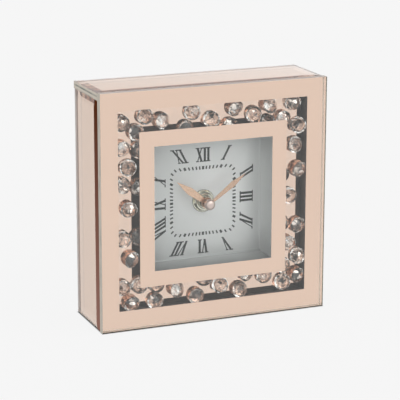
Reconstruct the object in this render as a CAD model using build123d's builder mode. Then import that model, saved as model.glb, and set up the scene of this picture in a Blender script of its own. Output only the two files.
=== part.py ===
from build123d import *
import math
import os

# Overall case
case_width = 155.0
case_height = 155.0
felt_thickness = 0.4
felt_inset = 6.0
back_panel_thickness = 4.0

# Mirror glass cladding
front_glass_thickness = 5.0
glass_arris = 0.15
glass_lift = 0.1
panel_thickness = 5.0
bevel_width = 5.0
bevel_depth = 0.5
film_gap = 0.03
coat_thickness = 0.17
coat_inset = 0.15
joint_gap = 0.2
seat_gap = 0.1

# Front borders and the crystal channel between them
outer_border = 12.5
inner_border = 10.0
crystal_diameter = 11.0
crystal_side_gap = 1.65
outer_undercut = 3.2
inner_undercut = 7.8
crystal_wall_gap = 0.15
crystal_tilt_room = 0.9
channel_mirror_thickness = 2.0

# Facets of a round brilliant crystal, angles measured from its girdle plane
girdle_sides = 16
girdle_thickness = 0.3
table_diameter = 6.2
crown_angle = 34.5
star_angle = 21.0
upper_angle = 41.0
pavilion_angle = 41.0
lower_angle = 43.0
least_tilt = 3.0
most_tilt = 26.0
spin_step = 137.5
lean_step = 275.0
row_step = 20

# Crystals on each side, as shares of half its length and of the way from the channel's inner to its outer wall
top_crystals = (
    (-0.93, 0.53), (-0.69, 0.78), (-0.51, 0.5), (-0.26, 0.05), (-0.2, 0.8), (0, 0.4), (0.21, 0),
    (0.26, 0.8), (0.46, 0.45), (0.61, 0.01), (0.63, 0.83), (0.78, 0.12), (0.88, 0.86),
)
bottom_crystals = (
    (-0.84, 1), (-0.59, 1), (-0.58, 0.2), (-0.36, 0.57), (-0.15, 1), (-0.07, 0.18),
    (0.1, 0.58), (0.32, 0.93), (0.4, 0.21), (0.59, 0.4), (0.79, 0.8),
)
left_crystals = (
    (0.76, 0.15), (0.61, 0.83), (0.58, 0.03), (0.42, 0.56), (0.25, 0.81), (0.21, 0.02),
    (0, 0.54), (-0.29, 0.85), (-0.29, 0.05), (-0.51, 0.41), (-0.79, 0.85), (-0.78, 0.05),
)
right_crystals = (
    (0.7, 0.89), (0.5, 0.76), (0.24, 0.99), (0.2, 0.1), (-0.02, 0.47), (-0.29, 0.14),
    (-0.34, 0.98), (-0.52, 0.48), (-0.66, 0.96), (-0.74, 0.21), (-0.87, 0.99),
)

# Dial
dial_depth = 18.3
dial_drop = 2.6
dial_thickness = 0.6
dial_board_thickness = 2.0
dial_edge_gap = 0.15

# Screws that hold the back panel
screw_radius = 1.25
screw_head_radius = 3.0
screw_length = 14.0
screw_spacing = 90.0
screw_columns = 2
screw_rows = 2
screw_sink_angle = 90.0

# Post that carries the hands
washer_radius = 7.5
washer_thickness = 0.6
nut_flats = 12.0
nut_thickness = 2.5
nut_chamfer = 0.4
bush_radius = 4.0
bush_flange_radius = 6.0
bush_flange_thickness = 0.6
bush_proud = 1.5
gasket_radius = 14.0
gasket_thickness = 1.0
hour_pipe_radius = 2.5
minute_arbor_radius = 1.75
fit_gap = 0.05
press_gap = 0.02

# Hands, measured from the post's axis
hand_thickness = 0.45
hand_gap = 0.9
hub_height = 2.2
hour_hub_radius = 3.7
hour_hand_length = 26.7
hour_belly_at = 15.0
hour_belly_width = 5.0
hour_neck_width = 2.6
hour_angle = 307.0
minute_hub_radius = 2.9
minute_hand_length = 31.2
minute_belly_at = 21.0
minute_belly_width = 3.8
minute_neck_width = 1.5
minute_angle = 54.0
cap_radius = 3.5
cap_height = 3.4
cap_round = 2.6
cap_roof = 1.2

# Battery and its bay
battery_diameter = 14.5
battery_length = 50.5
battery_nub_radius = 2.75
battery_nub_length = 1.3
battery_chamfer = 0.5
battery_gap = 0.4
bay_side_gap = 0.55
bay_floor = 1.1
contact_room = 1.35
contact_thickness = 0.4
contact_width = 9.0
contact_gap = 0.3
contact_dimple_radius = 2.2

# Movement case
shell_wall = 1.4
shell_corner = 3.0
train_room = 36.2
wheel_wall_gap = 0.4
cover_lip = 1.4
cover_lip_height = 1.5
cover_gap = 0.15
back_recess = 6.9
access_gap = 2.0

# Gear teeth, as shares of the module or of the tooth pitch
addendum = 0.75
dedendum = 0.95
root_share = 0.26
tip_share = 0.09

# Tooth counts
cannon_teeth = 12
motion_teeth = 36
motion_pinion_teeth = 10
hour_teeth = 40
setting_teeth = 12
rotor_teeth = 8
fifth_teeth = 32
fifth_pinion_teeth = 8
seconds_teeth = 60
seconds_pinion_teeth = 8
third_teeth = 64
third_pinion_teeth = 8
centre_teeth = 60

# Gear modules and the directions of the arbors, seen from the front
motion_module = 0.35
rotor_module = 0.3
fifth_module = 0.32
third_module = 0.3
third_direction = 30.0
fifth_direction = 110.0
rotor_direction = 150.0
motion_direction = 170.0
setting_direction = 200.0

# Depths of the wheels in the movement
motion_thickness = 1.0
wheel_thickness = 0.8
front_gap = 0.5
motion_gap = 0.4
level_gap = 0.6
bridge_gap = 0.8
bridge_thickness = 1.0

# Arbors, pivots and posts
pivot_radius = 0.4
pivot_depth = 0.9
arbor_radius = 0.55
seconds_arbor_radius = 0.7
hub_radius = 2.0
journal_radius = 1.0
stud_radius = 0.8
post_radius = 1.6
post_pin_radius = 0.8
bridge_pad_radius = 2.6
pivot_pad_radius = 2.0
bridge_posts = ((4.5, 18.0), (-15.5, 8.0), (13.5, -7.0))

# Stepping motor
magnet_radius = 3.0
magnet_depth = 4.0
magnet_length = 3.4
stator_thickness = 1.0
stator_gap = 0.4
stator_bulge = 1.6
stator_bar_height = 5.0
stator_arm_width = 2.5
bobbin_length = 16.0
bobbin_centre = -10.0
bobbin_flange_radius = 4.2
bobbin_flange_thickness = 0.8
bobbin_tube_wall = 0.6
winding_radius = 3.6
core_radius = 1.3
slim_post_radius = 1.2

# Circuit board
board_length = 16.0
board_height = 8.0
board_thickness = 1.0
board_depth = 6.0
board_wall_gap = 0.4
board_post_inset = 2.0
can_radius = 1.0
can_length = 6.0
can_inset = 2.2
chip_radius = 2.2
chip_height = 1.2

# Setting knob
knob_radius = 6.0
knob_height = 4.2
knob_gap = 0.4
knob_shaft_radius = 1.5
knob_flutes = 20
knob_flute_radius = 0.7
knob_chamfer = 0.5

# Sizes worked out from the ones above
backing = film_gap + coat_thickness
channel_width = crystal_diameter + 2 * crystal_side_gap
ring_width = case_width - 2 * outer_border
ring_height = case_height - 2 * outer_border
core_width = ring_width - 2 * channel_width
core_height = ring_height - 2 * channel_width
dial_width = core_width - 2 * inner_border
dial_height = core_height - 2 * inner_border
window_z = case_height / 2
crystal_radius = crystal_diameter / 2
crown_height = (crystal_radius - table_diameter / 2) * math.tan(math.radians(crown_angle))
pavilion_height = crystal_radius * math.tan(math.radians(pavilion_angle))
crystal_height = crown_height + girdle_thickness + pavilion_height
channel_depth = crystal_height + crystal_tilt_room
board_wall = outer_border - panel_thickness - backing
glass_height = case_height - glass_lift
glass_z = (glass_lift + case_height) / 2

# Gear centre distances and modules that share them
motion_distance = (cannon_teeth + motion_teeth) * motion_module / 2
hour_module = 2 * motion_distance / (motion_pinion_teeth + hour_teeth)
setting_distance = (motion_teeth + setting_teeth) * motion_module / 2
rotor_distance = (rotor_teeth + fifth_teeth) * rotor_module / 2
fifth_distance = (fifth_pinion_teeth + seconds_teeth) * fifth_module / 2
third_distance = (seconds_pinion_teeth + third_teeth) * third_module / 2
centre_module = 2 * third_distance / (third_pinion_teeth + centre_teeth)

# Movement size and layout, with its own origin on the axis of the hands
seconds_tip = (seconds_teeth / 2 + addendum) * fifth_module
bay_height = battery_diameter + 2 * bay_side_gap
inner_width = battery_length + 2 * contact_room
movement_width = inner_width + 2 * shell_wall
movement_height = train_room + bay_height + 3 * shell_wall
movement_depth = bay_floor + battery_gap + battery_diameter
train_low = -(seconds_tip + wheel_wall_gap)
train_high = train_low + train_room
bay_high = train_low - shell_wall
bay_low = bay_high - bay_height
case_mid = (0, (train_high + bay_low) / 2)
train_mid = (0, (train_high + train_low) / 2)
bay_mid = (0, (bay_high + bay_low) / 2)
cover_height = train_high + shell_wall - bay_high
cover_mid = (0, bay_high + cover_height / 2)

# Depths through the clock, from the front plane to the back
stack = (
    front_glass_thickness + backing + dial_depth + dial_thickness
    + dial_board_thickness + gasket_thickness + movement_depth + back_recess
)
front_y = -stack / 2
glass_back_y = front_y + front_glass_thickness
coat_back_y = glass_back_y + backing
dial_y = coat_back_y + dial_depth
board_y = dial_y + dial_thickness
movement_y = board_y + dial_board_thickness + gasket_thickness
back_y = front_y + stack
back_panel_y = back_y - back_panel_thickness
channel_mirror_y = coat_back_y + channel_depth
channel_bed_y = channel_mirror_y + channel_mirror_thickness
axis_z = window_z - dial_drop

# Depths in the movement, from its front face
hour_level = shell_wall + front_gap
motion_level = hour_level + motion_thickness + motion_gap
centre_level = motion_level + motion_thickness + level_gap
third_level = centre_level + wheel_thickness + level_gap
seconds_level = third_level + wheel_thickness + level_gap
fifth_level = seconds_level + wheel_thickness + level_gap
bridge_level = fifth_level + wheel_thickness + bridge_gap
bridge_end = bridge_level + bridge_thickness
cover_level = movement_depth - shell_wall

# Depths of the post, which are negative in front of the movement
dial_face = dial_y - movement_y
washer_face = dial_face - washer_thickness
nut_face = washer_face - nut_thickness
bush_face = nut_face - bush_proud
hour_hand_back = bush_face - hand_gap
hour_hand_face = hour_hand_back - hub_height
minute_hand_back = hour_hand_face - hand_gap
minute_hand_face = minute_hand_back - hub_height
cap_face = minute_hand_face - cap_height
minute_tip = cap_face + cap_roof + fit_gap


def polar(distance, direction, start=(0, 0)):
    """Point at a distance and direction from a start point in the movement's layout."""
    turn = math.radians(direction)
    return (start[0] + distance * math.cos(turn), start[1] + distance * math.sin(turn))


axis_at = (0, 0)
third_at = polar(third_distance, third_direction)
fifth_at = polar(fifth_distance, fifth_direction)
rotor_at = polar(rotor_distance, rotor_direction, fifth_at)
motion_at = polar(motion_distance, motion_direction)
setting_at = polar(setting_distance, setting_direction, motion_at)
coil_z = train_high - bobbin_flange_radius - wheel_wall_gap
coil_depth = shell_wall + seat_gap + bobbin_flange_radius
stator_level = coil_depth - stator_thickness / 2
stator_half = bobbin_length / 2 + seat_gap + stator_arm_width
bar_top = coil_z - bobbin_flange_radius - seat_gap
bar_z = bar_top - stator_bar_height / 2
board_at = (
    inner_width / 2 - board_wall_gap - board_length / 2,
    train_high - board_wall_gap - board_height / 2,
)


def save(piece, name):
    """Name a finished piece and write it to its own file."""
    piece.part.label = name
    export_step(piece.part, f"parts/{name}.step")


def facing(y, x=0.0, z=0.0):
    """Drawing plane at depth y that is seen from the front, x to the right and z up."""
    return Plane(origin=(x, y, z), x_dir=(1, 0, 0), z_dir=(0, -1, 0))


def layout(depth, at=axis_at):
    """Front-facing plane at a depth in the movement, centred on a point of its layout."""
    return facing(movement_y + depth, at[0], axis_z + at[1])


def turned(radius, start, end, at=axis_at, mode=Mode.ADD):
    """Round step between two depths of the movement."""
    with BuildSketch(layout(end, at)) as disc:
        Circle(radius)
    extrude(disc.sketch, amount=end - start, mode=mode)


def tooth_ring(teeth, module, phase):
    """Outline of a gear with plain stub teeth, one of them pointing in the phase direction."""
    pitch_radius = teeth * module / 2
    root = pitch_radius - dedendum * module
    tip = pitch_radius + addendum * module
    pitch = 360 / teeth
    corners = ((root, -root_share), (tip, -tip_share), (tip, tip_share), (root, root_share))
    return [
        polar(radius, phase + pitch * (tooth + share))
        for tooth in range(teeth)
        for radius, share in corners
    ]


def toothed(teeth, module, phase, start, end, at=axis_at):
    """Gear between two depths of the movement."""
    with BuildSketch(layout(end, at)) as gear:
        with BuildLine():
            Polyline(*tooth_ring(teeth, module, phase), close=True)
        make_face()
    extrude(gear.sketch, amount=end - start)


def meshing_phase(teeth, phase, next_teeth, direction):
    """Phase that puts the next gear's gap on this gear's tooth along their line of centres."""
    pitches = (direction - phase) * teeth / 360
    return direction + 180 - (0.5 - pitches) * 360 / next_teeth


# Tooth phases at rest
motion_phase = meshing_phase(cannon_teeth, 0, motion_teeth, motion_direction)
hour_phase = meshing_phase(motion_pinion_teeth, 0, hour_teeth, motion_direction + 180)
setting_phase = meshing_phase(motion_teeth, motion_phase, setting_teeth, setting_direction)
fifth_phase = meshing_phase(rotor_teeth, 0, fifth_teeth, rotor_direction + 180)
seconds_phase = meshing_phase(fifth_pinion_teeth, 0, seconds_teeth, fifth_direction + 180)
third_phase = meshing_phase(seconds_pinion_teeth, 0, third_teeth, third_direction)
centre_phase = meshing_phase(third_pinion_teeth, 0, centre_teeth, third_direction + 180)

os.makedirs("parts", exist_ok=True)

# Front glass, one flat plate over the whole front
with BuildPart() as front_glass:
    with Locations((0, (front_y + glass_back_y) / 2, glass_z)):
        Box(case_width, front_glass_thickness, glass_height)
    chamfer(front_glass.faces().sort_by(Axis.Y)[0].edges(), length=glass_arris)
save(front_glass, "front_glass")

# Mirror coats behind the front glass, which leave the channel and the dial clear
with BuildPart() as front_border_coat:
    with BuildSketch(facing(coat_back_y, z=glass_z)):
        Rectangle(case_width - 2 * coat_inset, glass_height - 2 * coat_inset)
        with Locations((0, window_z - glass_z)):
            Rectangle(ring_width, ring_height, mode=Mode.SUBTRACT)
    extrude(amount=coat_thickness)
save(front_border_coat, "front_border_coat")

with BuildPart() as dial_border_coat:
    with BuildSketch(facing(coat_back_y, z=window_z)):
        Rectangle(core_width, core_height)
        Rectangle(dial_width, dial_height, mode=Mode.SUBTRACT)
    extrude(amount=coat_thickness)
save(dial_border_coat, "dial_border_coat")

# Bevelled mirror panels on the top and the sides, each with its coat behind it
panel_front_y = coat_back_y + film_gap
panel_depth = back_y - panel_front_y
panel_y = (back_y + panel_front_y) / 2
side_high = case_height - panel_thickness - backing - joint_gap
side_height = side_high - glass_lift
side_z = (side_high + glass_lift) / 2
panel_x = (case_width - panel_thickness) / 2
side_coat_x = case_width / 2 - panel_thickness - backing + coat_thickness / 2
top_z = case_height - panel_thickness / 2
top_coat_z = case_height - panel_thickness - backing + coat_thickness / 2
coat_depth = panel_depth - 2 * coat_inset

panels = {
    "top": ((case_width, panel_depth, panel_thickness), (0, panel_y, top_z), (0, 0, 1)),
    "left": ((panel_thickness, panel_depth, side_height), (-panel_x, panel_y, side_z), (-1, 0, 0)),
    "right": ((panel_thickness, panel_depth, side_height), (panel_x, panel_y, side_z), (1, 0, 0)),
}
for side, (size, centre, outward) in panels.items():
    with BuildPart() as mirror_panel:
        with Locations(centre):
            Box(*size)
        outer_face = mirror_panel.faces().sort_by(Axis((0, 0, 0), outward))[-1]
        chamfer(outer_face.edges(), length=bevel_width, length2=bevel_depth, reference=outer_face)
    save(mirror_panel, f"{side}_mirror")

coats = {
    "top": ((case_width - 2 * coat_inset, coat_depth, coat_thickness), (0, panel_y, top_coat_z)),
    "left": ((coat_thickness, coat_depth, side_height), (-side_coat_x, panel_y, side_z)),
    "right": ((coat_thickness, coat_depth, side_height), (side_coat_x, panel_y, side_z)),
}
for side, (size, centre) in coats.items():
    with BuildPart() as mirror_coat:
        with Locations(centre):
            Box(*size)
    save(mirror_coat, f"{side}_coat")

# Carcass boards behind the glass, rebated for the channel, with pilot holes for the back panel's screws
carcass_half = case_width / 2 - panel_thickness - backing
carcass_high = case_height - panel_thickness - backing
carcass_depth = back_panel_y - coat_back_y
carcass_y = (back_panel_y + coat_back_y) / 2
window_high = window_z + ring_height / 2
window_low = window_z - ring_height / 2
side_board_x = carcass_half - board_wall / 2
screw_reach = screw_length - back_panel_thickness
rebate_width = ring_width + 2 * outer_undercut
rebate_height = ring_height + 2 * outer_undercut
rebate_depth = channel_bed_y - coat_back_y
carcass = {
    "top": (2 * carcass_half, carcass_high - window_high, 0, (carcass_high + window_high) / 2),
    "bottom": (2 * carcass_half, window_low - felt_thickness, 0, (window_low + felt_thickness) / 2),
    "left": (board_wall, ring_height, -side_board_x, window_z),
    "right": (board_wall, ring_height, side_board_x, window_z),
}
for side, (width, height, x, z) in carcass.items():
    with BuildPart() as carcass_board:
        with Locations((x, carcass_y, z)):
            Box(width, carcass_depth, height)
        with Locations((0, coat_back_y + rebate_depth / 2, window_z)):
            Box(rebate_width, rebate_depth, rebate_height, mode=Mode.SUBTRACT)
        with BuildSketch(facing(back_panel_y, z=window_z)):
            with GridLocations(2 * side_board_x, screw_spacing, screw_columns, screw_rows):
                Circle(screw_radius + fit_gap)
        extrude(amount=screw_reach + seat_gap, mode=Mode.SUBTRACT)
    save(carcass_board, f"carcass_{side}")

# Felt under the base
with BuildPart() as base_felt:
    with Locations((0, 0, felt_thickness / 2)):
        Box(case_width - 2 * felt_inset, stack - 2 * felt_inset, felt_thickness)
save(base_felt, "base_felt")

# Back panel with the opening for the movement and four countersunk screws
back_low = felt_thickness + joint_gap
back_high = carcass_high - joint_gap
sink_depth = (screw_head_radius - screw_radius) / math.tan(math.radians(screw_sink_angle / 2))
with BuildPart() as back_panel:
    with Locations((0, (back_y + back_panel_y) / 2, (back_low + back_high) / 2)):
        Box(2 * (carcass_half - joint_gap), back_panel_thickness, back_high - back_low)
    with BuildSketch(layout(back_y - movement_y, case_mid)):
        Rectangle(movement_width + 2 * access_gap, movement_height + 2 * access_gap)
    extrude(amount=back_panel_thickness, mode=Mode.SUBTRACT)
    with BuildSketch(facing(back_y, z=window_z)):
        with GridLocations(2 * side_board_x, screw_spacing, screw_columns, screw_rows):
            Circle(screw_radius + fit_gap)
    extrude(amount=back_panel_thickness, mode=Mode.SUBTRACT)
    with BuildSketch(facing(back_y, z=window_z)):
        with GridLocations(2 * side_board_x, screw_spacing, screw_columns, screw_rows):
            Circle(screw_head_radius + fit_gap)
    extrude(amount=sink_depth, taper=screw_sink_angle / 2, mode=Mode.SUBTRACT)
save(back_panel, "back_panel")

with BuildPart() as back_screws:
    with BuildSketch(facing(back_y, z=window_z)):
        with GridLocations(2 * side_board_x, screw_spacing, screw_columns, screw_rows):
            Circle(screw_radius)
    extrude(amount=screw_length)
    with BuildSketch(facing(back_y, z=window_z)):
        with GridLocations(2 * side_board_x, screw_spacing, screw_columns, screw_rows):
            Circle(screw_head_radius)
    extrude(amount=sink_depth, taper=screw_sink_angle / 2)
save(back_screws, "back_screws")

# Board behind the dial and the channel
with BuildPart() as dial_board:
    with BuildSketch(facing(board_y + dial_board_thickness, z=window_z)):
        Rectangle(ring_width - 2 * seat_gap, ring_height - 2 * seat_gap)
        with Locations((0, -dial_drop)):
            Circle(bush_radius + seat_gap, mode=Mode.SUBTRACT)
    extrude(amount=dial_board_thickness)
save(dial_board, "dial_board")


def mitred_run(side, section):
    """Strip along one side of the ring window, mitred at both ends.

    The section's points are distances inwards from the window's edge and depths."""
    outward, reach, half_run = sides[side]
    along = outward.cross(Vector(0, 1, 0))
    edge = Vector(0, 0, window_z) + outward * reach
    with BuildPart() as run:
        with BuildSketch(Plane(origin=edge, x_dir=outward * -1, z_dir=along * -1)):
            with BuildLine():
                Polyline(*section, close=True)
            make_face()
        extrude(amount=half_run + outer_undercut, both=True)
        for way in (along, along * -1):
            split(bisect_by=Plane(origin=edge + way * half_run, z_dir=way - outward), keep=Keep.BOTTOM)
    return run


# Stepped mouldings that wall in the dial and carry the channel's mirror strips
sides = {
    "top": (Vector(0, 0, 1), ring_height / 2, ring_width / 2),
    "bottom": (Vector(0, 0, -1), ring_height / 2, ring_width / 2),
    "left": (Vector(-1, 0, 0), ring_width / 2, ring_height / 2),
    "right": (Vector(1, 0, 0), ring_width / 2, ring_height / 2),
}
well_edge = channel_width + inner_border
channel_edge = channel_width + inner_undercut
moulding_section = (
    (well_edge, coat_back_y),
    (channel_edge, coat_back_y),
    (channel_edge, channel_bed_y),
    (seat_gap, channel_bed_y),
    (seat_gap, board_y),
    (well_edge, board_y),
)
strip_section = (
    (channel_edge - seat_gap, channel_mirror_y),
    (seat_gap - outer_undercut, channel_mirror_y),
    (seat_gap - outer_undercut, channel_bed_y),
    (channel_edge - seat_gap, channel_bed_y),
)
for side in sides:
    save(mitred_run(side, moulding_section), f"moulding_{side}")
    save(mitred_run(side, strip_section), f"channel_mirror_{side}")

# Dial plate at the bottom of the well
with BuildPart() as dial_plate:
    with BuildSketch(facing(board_y, z=window_z)):
        Rectangle(dial_width - 2 * dial_edge_gap, dial_height - 2 * dial_edge_gap)
        with Locations((0, -dial_drop)):
            Circle(bush_radius + seat_gap, mode=Mode.SUBTRACT)
    extrude(amount=dial_thickness)
save(dial_plate, "dial_plate")


def cut_facets(count, angle, reach, height, first):
    """Cut a ring of flat facets, each leaning by an angle from the girdle plane."""
    lean = math.radians(angle)
    for facet in range(count):
        turn = math.radians(first + 360 * facet / count)
        normal = (
            math.sin(lean) * math.cos(turn),
            math.sin(lean) * math.sin(turn),
            math.copysign(math.cos(lean), height),
        )
        point = (reach * math.cos(turn), reach * math.sin(turn), height)
        split(bisect_by=Plane(origin=point, z_dir=normal), keep=Keep.BOTTOM)


# One crystal, cut from a blank with its table towards +Z
half_girdle = girdle_thickness / 2
main_count = girdle_sides // 2
main_pitch = 360 / main_count
half_pitch = 180 / girdle_sides
edge_reach = crystal_radius * math.cos(math.radians(half_pitch))
star_reach = table_diameter / 2 * math.cos(math.radians(main_pitch / 2))
with BuildPart() as crystal:
    with BuildSketch(Plane.XY.offset(-half_girdle - pavilion_height)):
        RegularPolygon(crystal_radius, girdle_sides)
    extrude(amount=crystal_height)
    cut_facets(main_count, crown_angle, crystal_radius, half_girdle, 0)
    cut_facets(main_count, star_angle, star_reach, half_girdle + crown_height, main_pitch / 2)
    cut_facets(girdle_sides, upper_angle, edge_reach, half_girdle, half_pitch)
    cut_facets(main_count, pavilion_angle, crystal_radius, -half_girdle, 0)
    cut_facets(girdle_sides, lower_angle, edge_reach, -half_girdle, half_pitch)


def crystal_place(number, centre):
    """Lay one crystal on the channel's mirror, table down, tilted and turned by its number."""
    tilt = math.radians(least_tilt + (most_tilt - least_tilt) * (number * spin_step % 360) / 360)
    lean = math.radians(number * lean_step)
    downward = Vector(math.sin(tilt) * math.cos(lean), math.cos(tilt), math.sin(tilt) * math.sin(lean))
    pose = Location(Plane(origin=(0, 0, 0), z_dir=downward)) * Rotation(0, 0, number * spin_step)
    reach = crystal.part.moved(pose).bounding_box().max.Y
    return Location(centre + Vector(0, channel_mirror_y - seat_gap - reach, 0)) * pose


# Crystals round the channel, each clear of those already laid
side_crystals = {
    "top": top_crystals,
    "bottom": bottom_crystals,
    "left": left_crystals,
    "right": right_crystals,
}
laid = []
for row, (side, spots) in enumerate(side_crystals.items()):
    outward, reach, half_run = sides[side]
    along = Vector(abs(outward.Z), 0, abs(outward.X))
    outermost = reach + outer_undercut - crystal_radius - crystal_wall_gap
    innermost = reach - channel_edge + crystal_radius + crystal_wall_gap
    places = []
    for step, (run_share, cross_share) in enumerate(spots):
        across = innermost + cross_share * (outermost - innermost)
        centre = Vector(0, 0, window_z) + outward * across + along * (run_share * half_run)
        if all((centre - other).length >= crystal_diameter for other in laid):
            laid.append(centre)
            places.append(crystal_place(row * row_step + step, centre))
    with BuildPart() as crystal_row:
        with Locations(*places):
            add(crystal.part)
    save(crystal_row, f"crystals_{side}")

# Washer, nut and threaded bush that clamp the movement to the dial
with BuildPart() as dial_washer:
    turned(washer_radius, washer_face, dial_face)
    turned(bush_radius + seat_gap, washer_face, dial_face, mode=Mode.SUBTRACT)
save(dial_washer, "dial_washer")

with BuildPart() as dial_nut:
    with BuildSketch(layout(washer_face)):
        RegularPolygon(nut_flats / 2, 6, major_radius=False)
        Circle(bush_radius + fit_gap, mode=Mode.SUBTRACT)
    extrude(amount=nut_thickness)
    chamfer(dial_nut.faces().sort_by(Axis.Y)[0].outer_wire().edges(), length=nut_chamfer)
save(dial_nut, "dial_nut")

with BuildPart() as threaded_bush:
    turned(bush_radius, bush_face, shell_wall)
    turned(bush_flange_radius, -bush_flange_thickness, 0)
    turned(hour_pipe_radius + fit_gap, bush_face, shell_wall, mode=Mode.SUBTRACT)
save(threaded_bush, "threaded_bush")

with BuildPart() as rubber_gasket:
    turned(gasket_radius, -gasket_thickness, 0)
    turned(bush_flange_radius + seat_gap, -gasket_thickness, 0, mode=Mode.SUBTRACT)
save(rubber_gasket, "rubber_gasket")

# Movement case with its train compartment, battery bay, posts and pivots
floor_pivots = (third_at, fifth_at, rotor_at, setting_at)
stator_posts = (
    (bobbin_centre - stator_half + stator_arm_width / 2, bar_z),
    (bobbin_centre + stator_half - stator_arm_width / 2, bar_z),
)
board_posts = [
    (board_at[0] + way * (board_length / 2 - board_post_inset), board_at[1]) for way in (-1, 1)
]
with BuildPart() as movement_case:
    with BuildSketch(layout(movement_depth, case_mid)):
        RectangleRounded(movement_width, movement_height, shell_corner)
    extrude(amount=movement_depth)
    with BuildSketch(layout(movement_depth, train_mid)):
        RectangleRounded(inner_width, train_room, shell_corner - shell_wall)
    extrude(amount=movement_depth - shell_wall, mode=Mode.SUBTRACT)
    with BuildSketch(layout(movement_depth, bay_mid)):
        Rectangle(inner_width, bay_height)
    extrude(amount=movement_depth - bay_floor, mode=Mode.SUBTRACT)
    with BuildSketch(layout(movement_depth, cover_mid)):
        Rectangle(movement_width, cover_height)
    extrude(amount=shell_wall, mode=Mode.SUBTRACT)
    for post in bridge_posts:
        turned(post_radius, shell_wall, bridge_level, post)
        turned(post_pin_radius, bridge_level, bridge_end, post)
    for post in stator_posts:
        turned(slim_post_radius, shell_wall, stator_level, post)
    for post in board_posts:
        turned(slim_post_radius, shell_wall, board_depth, post)
    turned(stud_radius, shell_wall, motion_level + motion_thickness + seat_gap, motion_at)
    for pivot in floor_pivots:
        turned(pivot_radius + fit_gap, shell_wall - pivot_depth, shell_wall, pivot, Mode.SUBTRACT)
    turned(bush_radius + fit_gap, 0, shell_wall, mode=Mode.SUBTRACT)
save(movement_case, "movement_case")

# Cover over the train, with a lip inside the case
lip_width = inner_width - 2 * cover_gap
lip_height = train_room - 2 * cover_gap
lip_corner = shell_corner - shell_wall
with BuildPart() as movement_cover:
    with BuildSketch(layout(movement_depth, case_mid)):
        RectangleRounded(movement_width, movement_height, shell_corner)
        with Locations((0, cover_mid[1] - case_mid[1])):
            Rectangle(movement_width, cover_height, mode=Mode.INTERSECT)
    extrude(amount=shell_wall)
    with BuildSketch(layout(cover_level, train_mid)):
        RectangleRounded(lip_width, lip_height, lip_corner)
        Rectangle(lip_width - 2 * cover_lip, lip_height - 2 * cover_lip, mode=Mode.SUBTRACT)
    extrude(amount=cover_lip_height)
    turned(knob_shaft_radius + fit_gap, cover_level, movement_depth, setting_at, Mode.SUBTRACT)
save(movement_cover, "movement_cover")

# Bridge that holds the rear pivots of the going train
train_pivots = (axis_at, third_at, fifth_at, rotor_at)
with BuildPart() as train_bridge:
    with BuildSketch(layout(bridge_end)):
        with Locations(*bridge_posts):
            Circle(bridge_pad_radius)
        with Locations(*train_pivots):
            Circle(pivot_pad_radius)
        make_hull()
        with Locations(*bridge_posts):
            Circle(post_pin_radius + fit_gap, mode=Mode.SUBTRACT)
        with Locations(*train_pivots):
            Circle(pivot_radius + fit_gap, mode=Mode.SUBTRACT)
    extrude(amount=bridge_thickness)
save(train_bridge, "train_bridge")


def coil_plane(x):
    """Plane across the coil's axis at a place along it."""
    return Plane(origin=(x, movement_y + coil_depth, axis_z + coil_z), x_dir=(0, 1, 0), z_dir=(1, 0, 0))


# Coil on its bobbin
bobbin_start = bobbin_centre - bobbin_length / 2
bobbin_tube_radius = core_radius + fit_gap + bobbin_tube_wall
with BuildPart() as coil_bobbin:
    with BuildSketch(coil_plane(bobbin_start)):
        Circle(bobbin_tube_radius)
    extrude(amount=bobbin_length)
    for flange_x in (bobbin_start, bobbin_start + bobbin_length - bobbin_flange_thickness):
        with BuildSketch(coil_plane(flange_x)):
            Circle(bobbin_flange_radius)
        extrude(amount=bobbin_flange_thickness)
    with BuildSketch(coil_plane(bobbin_start)):
        Circle(core_radius + fit_gap)
    extrude(amount=bobbin_length, mode=Mode.SUBTRACT)
save(coil_bobbin, "coil_bobbin")

with BuildPart() as coil_winding:
    with BuildSketch(coil_plane(bobbin_start + bobbin_flange_thickness + fit_gap)):
        Circle(winding_radius)
        Circle(bobbin_tube_radius + fit_gap, mode=Mode.SUBTRACT)
    extrude(amount=bobbin_length - 2 * (bobbin_flange_thickness + fit_gap))
save(coil_winding, "coil_winding")

# Stator plate round the rotor, with the iron core through the coil
arm_top = coil_z + core_radius
arm_height = arm_top - bar_z
with BuildPart() as stator:
    with BuildSketch(layout(stator_level + stator_thickness)):
        with Locations((bobbin_centre, bar_z)):
            Rectangle(2 * stator_half, stator_bar_height)
        with Locations(rotor_at):
            Circle(magnet_radius + stator_gap + stator_bulge)
        with Locations((bobbin_centre, bar_top + bobbin_flange_radius)):
            Rectangle(2 * stator_half, 2 * bobbin_flange_radius, mode=Mode.SUBTRACT)
        for way in (-1, 1):
            arm_x = bobbin_centre + way * (stator_half - stator_arm_width / 2)
            with Locations((arm_x, bar_z + arm_height / 2)):
                Rectangle(stator_arm_width, arm_height)
        with Locations(rotor_at):
            Circle(magnet_radius + stator_gap, mode=Mode.SUBTRACT)
    extrude(amount=stator_thickness)
    with BuildSketch(coil_plane(bobbin_centre - stator_half)):
        Circle(core_radius)
    extrude(amount=2 * stator_half)
save(stator, "stator")

# Circuit board with its quartz can and chip
board_back = board_depth + board_thickness
with BuildPart() as circuit_board:
    with BuildSketch(layout(board_back, board_at)):
        Rectangle(board_length, board_height)
    extrude(amount=board_thickness)
save(circuit_board, "circuit_board")

can_end_x = board_at[0] + board_length / 2 - can_inset
with BuildPart() as quartz_can:
    with BuildSketch(
        Plane(
            origin=(can_end_x - can_length, movement_y + board_back + can_radius,
                    axis_z + board_at[1] + board_height / 2 - can_inset),
            x_dir=(0, 1, 0),
            z_dir=(1, 0, 0),
        )
    ):
        Circle(can_radius)
    extrude(amount=can_length)
save(quartz_can, "quartz_can")

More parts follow.
